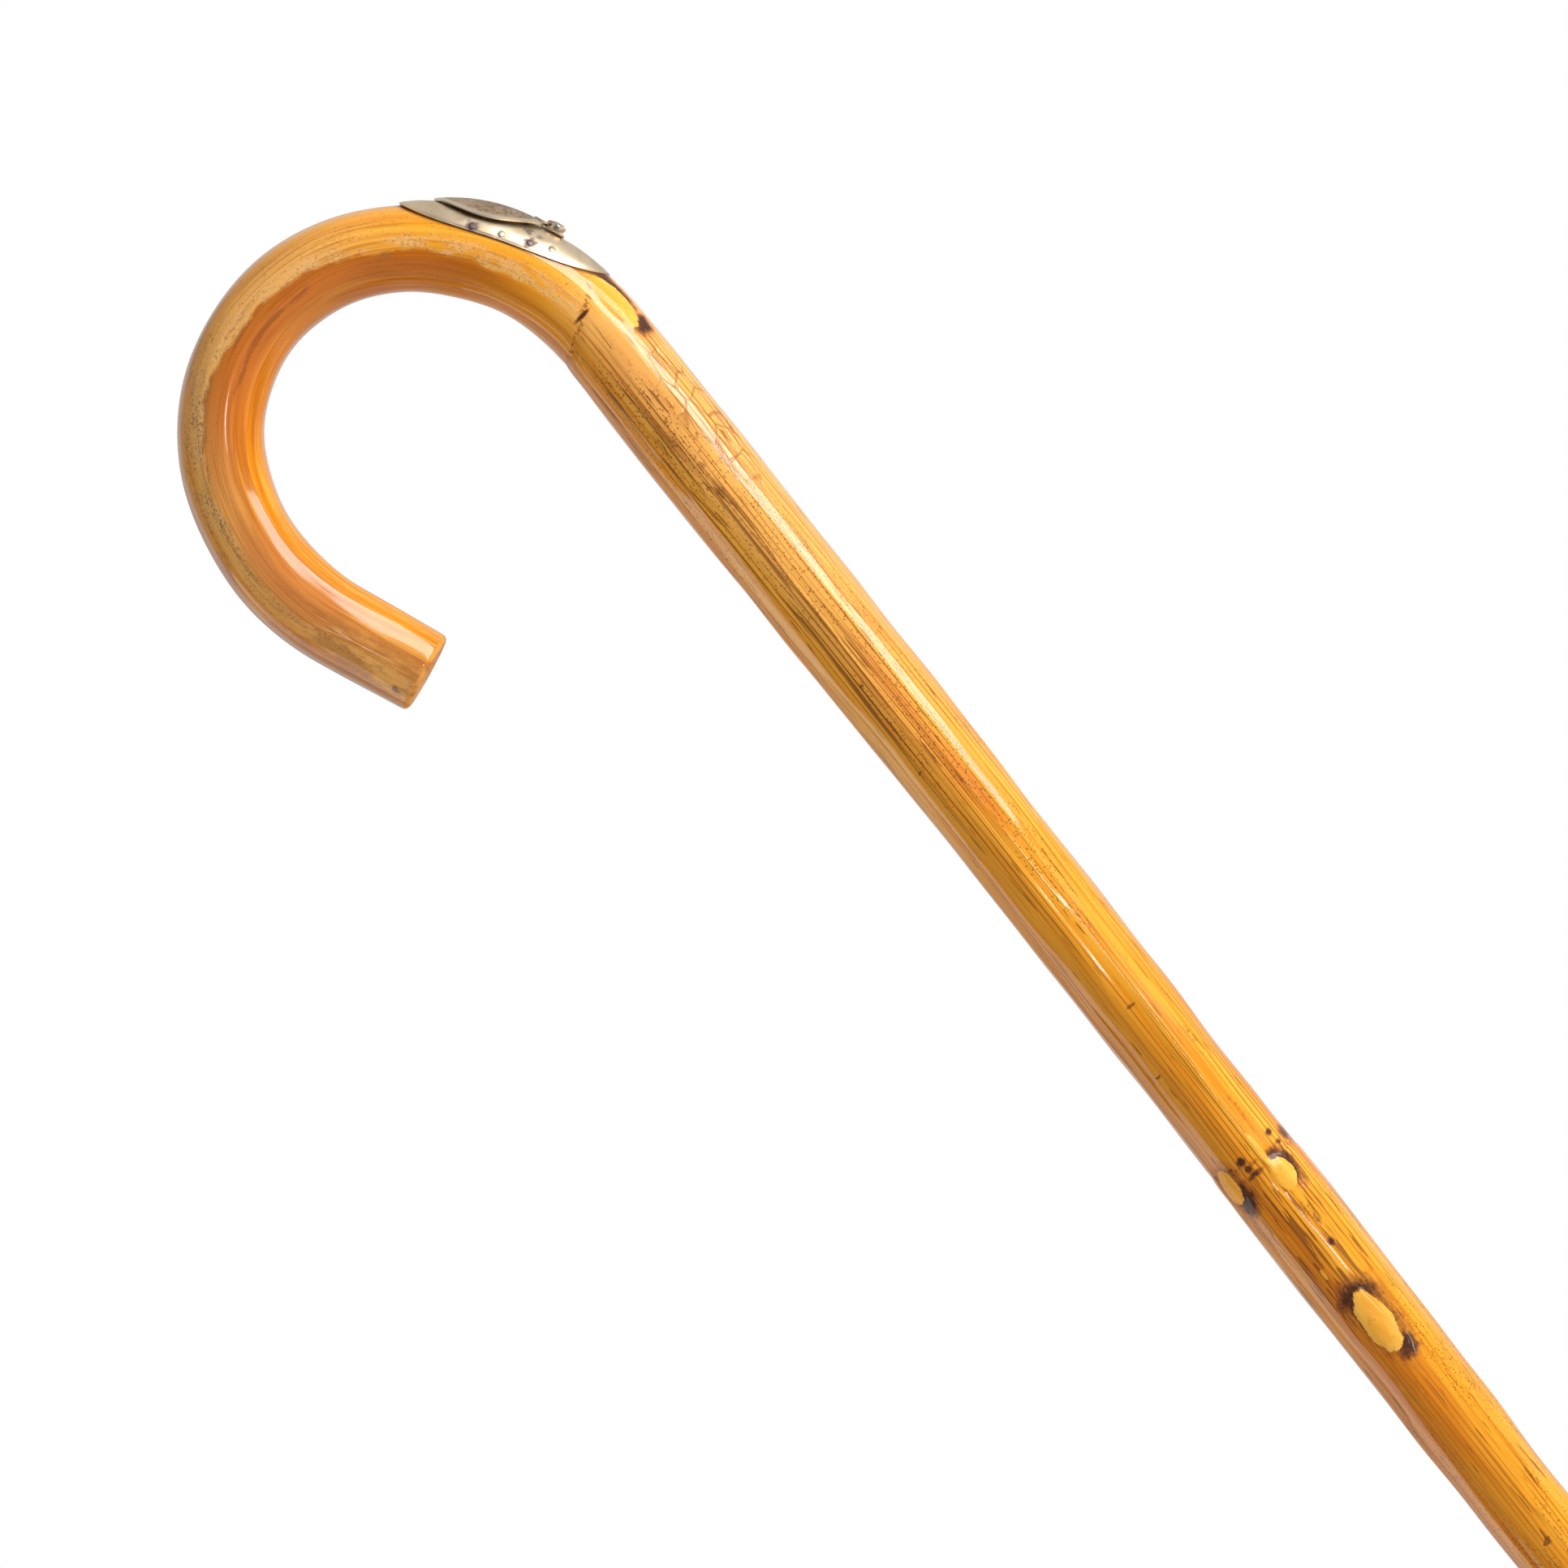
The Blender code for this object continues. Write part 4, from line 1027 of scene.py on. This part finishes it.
# ---- Ferrule ----
def build_ferrule(nickel, tack):
    low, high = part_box("ferrule_sleeve")
    bottom, top = low.z / MM, high.z / MM
    profile = [
        (9.0, bottom + 0.4), (9.2, bottom), (9.45, bottom), (10.05, bottom + 0.7), (10.05, bottom + 1.5),
        (9.45, bottom + 2.2), (9.5, bottom + 5), (9.65, top - 5.4), (9.9, top - 4.9), (9.9, top - 4.4),
        (9.66, top - 3.9), (9.68, top - 1.8), (10.0, top - 1.2), (10.0, top - 0.5), (9.7, top), (9.05, top),
        (8.75, bottom + 10),
    ]
    sleeve = lathe("ferrule_sleeve_look", rounded(profile, 0.35), nickel, closed=True)
    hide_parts("ferrule_sleeve")
    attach(sleeve, "cane")
    for name in ("ferrule_nail_near", "ferrule_nail_far"):
        low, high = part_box(name)
        sign = 1 if name.endswith("far") else -1
        seat = Vector((0, sign * 9.62 * MM, (low.z + high.z) / 2))
        head = [(0.3, -5.5), (0.6, -4), (0.6, -0.02), (1.2, 0), (1.1, 0.2), (0.8, 0.36), (0.35, 0.42), (0.05, 0.43)]
        nail = lathe(name + "_look", rounded(head, 0.1), tack, pointing(seat, Vector((0, sign, 0))), 40)
        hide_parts(name)
        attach(nail, "cane")


def build_foot():
    """The rubber foot, with moulded bands round its flare and rings in its sole."""
    profile = [
        (0.3, 0.0), (3.6, 0.0), (4.0, 1.4), (5.6, 1.4), (6.1, 0.0), (8.2, 0.0), (8.7, 1.4), (10.0, 1.4),
        (10.5, 0.0), (12.2, 0.0), (13.0, 0.8), (13.0, 1.9), (12.7, 2.05), (12.7, 2.35), (13.0, 2.5),
        (13.0, 3.6), (11.7, 6.5), (11.1, 8.3), (10.85, 9.9), (11.1, 10.1), (11.1, 10.9), (10.75, 11.1),
        (10.45, 13.4), (9.8, 14.0), (7.9, 14.0), (7.9, 22.5), (7.4, 23.0), (0.3, 23.0),
    ]
    f = Finish("rubber_look", 0.72, Specular_IOR_Level=0.35)
    place = f.own_space()
    dust = f.noise(place, 240, detail=5, roughness=0.7)
    grainy = f.noise(place, 2400, detail=2)
    height = f.axes(place)[2]
    low = f.step(height, 0.006, 0.0005)
    dusty = f.times(f.step(dust, 0.42, 0.62), f.mix_value(low, 0.35, 0.9))
    f.put("Base Color", f.mix(dusty, rgb(38, 37, 37), rgb(96, 91, 85)))
    f.put("Normal", f.bump(grainy, 0.25, 0.00008))
    foot = lathe("rubber_foot_look", rounded(profile, 0.3), f.material)
    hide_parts("rubber_foot")
    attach(foot, "cane")


# ---- Stage ----
# The picture's right and up directions: the cane lies slantwise across the picture.
RIGHT = Vector((0.7837, 0, -0.6211))
UP = Vector((0.6211, 0, 0.7837))
TOWARDS = Vector((0, -1, 0))
AIM = Vector((-30.9 * MM, 0, 731.6 * MM))
VIEW_WIDTH = 357.4 * MM
LENS = 150.0
SENSOR = 36.0
LIGHT_DISTANCE = 1.3
FLOOR_RADIUS = 2.2


def build_camera():
    camera = link("camera", bpy.data.cameras.new("camera"))
    camera.data.lens = LENS
    camera.data.sensor_width = SENSOR
    camera.data.clip_start = 0.01
    distance = VIEW_WIDTH / SENSOR * LENS
    turn = Matrix((RIGHT.normalized(), UP.normalized(), TOWARDS)).transposed().to_4x4()
    camera.matrix_world = Matrix.Translation(AIM + TOWARDS * distance) @ turn
    bpy.context.scene.camera = camera


def softbox(name, direction, width, length, power):
    """A soft light that faces the crook, its length along the shaft. The direction is (right, up, nearer)."""
    away = (RIGHT * direction[0] + UP * direction[1] + TOWARDS * direction[2]).normalized()
    along = (Vector((0, 0, 1)) - away * away.z).normalized()
    turn = Matrix((along.cross(away), along, away)).transposed().to_4x4()
    light = bpy.data.lights.new(name, "AREA")
    light.shape = "RECTANGLE"
    light.size = width
    light.size_y = length
    light.energy = power
    link(name, light).matrix_world = Matrix.Translation(AIM + away * LIGHT_DISTANCE) @ turn


def build_lights():
    """A large soft key above to the right, a thin strip for a glint, a reflector on the left, a bright surround."""
    softbox("key", (0.520, 0.700, 0.50), 0.60, 0.80, 17.5)
    softbox("glint", (0.363, 0.093, 0.94), 0.05, 0.21, 1.3)
    softbox("reflector", (-0.700, -0.720, -0.12), 0.62, 0.95, 3.6)
    world = bpy.data.worlds.new("studio")
    bpy.context.scene.world = world
    world.use_nodes = True
    tree = world.node_tree
    tree.nodes.clear()
    new, wire = tree.nodes.new, tree.links.new
    output, mix = new("ShaderNodeOutputWorld"), new("ShaderNodeMixShader")
    seen, lit = new("ShaderNodeBackground"), new("ShaderNodeBackground")
    path, coordinate = new("ShaderNodeLightPath"), new("ShaderNodeTexCoord")
    dot, ramp = new("ShaderNodeVectorMath"), new("ShaderNodeMapRange")
    seen.inputs[0].default_value = (1, 1, 1, 1)
    dot.operation = "DOT_PRODUCT"
    dot.inputs[1].default_value = (UP * 0.35 - TOWARDS).normalized()
    ramp.interpolation_type = "SMOOTHSTEP"
    for key, value in {"From Min": -0.15, "From Max": 0.25, "To Min": 0.33, "To Max": 0.78}.items():
        ramp.inputs[key].default_value = value
    wire(coordinate.outputs["Generated"], dot.inputs[0])
    wire(dot.outputs["Value"], ramp.inputs["Value"])
    wire(ramp.outputs[0], lit.inputs["Strength"])
    wire(path.outputs["Is Camera Ray"], mix.inputs[0])
    wire(lit.outputs[0], mix.inputs[1])
    wire(seen.outputs[0], mix.inputs[2])
    wire(mix.outputs[0], output.inputs[0])
    bpy.context.scene.view_settings.view_transform = "Standard"


def build_floor():
    f = Finish("pale_floor", 0.8)
    f.put("Base Color", (0.88, 0.88, 0.87, 1))
    turn = turns(96)
    points = np.stack([FLOOR_RADIUS * np.cos(turn), FLOOR_RADIUS * np.sin(turn), np.zeros(96)], -1)
    floor = make("floor", points, [list(range(96))], f.material)


def main():
    build_camera()
    build_lights()
    build_floor()
    build_stick()
    build_saddle()
    build_lid()
    silver = plain_metal("hinge_silver_look", rgb(214, 192, 162), 0.50)
    worn = plain_metal("worn_tack_look", rgb(214, 196, 172), 0.36)
    steel = plain_metal("steel_look", rgb(168, 164, 158), 0.35)
    tarnished = plain_metal("tarnished_look", rgb(122, 106, 104), 0.50)
    nickel = plain_metal("nickel_look", rgb(196, 186, 164), 0.30)
    for node in ("compartment_cup", "lid_rim"):
        dress(node, silver)
    build_knuckle(silver)
    build_bracket(silver)
    dress("hinge_pin", steel, 0.06 * MM)
    dress("ferrule_washer", steel, 0.1 * MM)
    build_tacks(tarnished, worn)
    build_ferrule(nickel, tarnished)
    build_foot()


main()
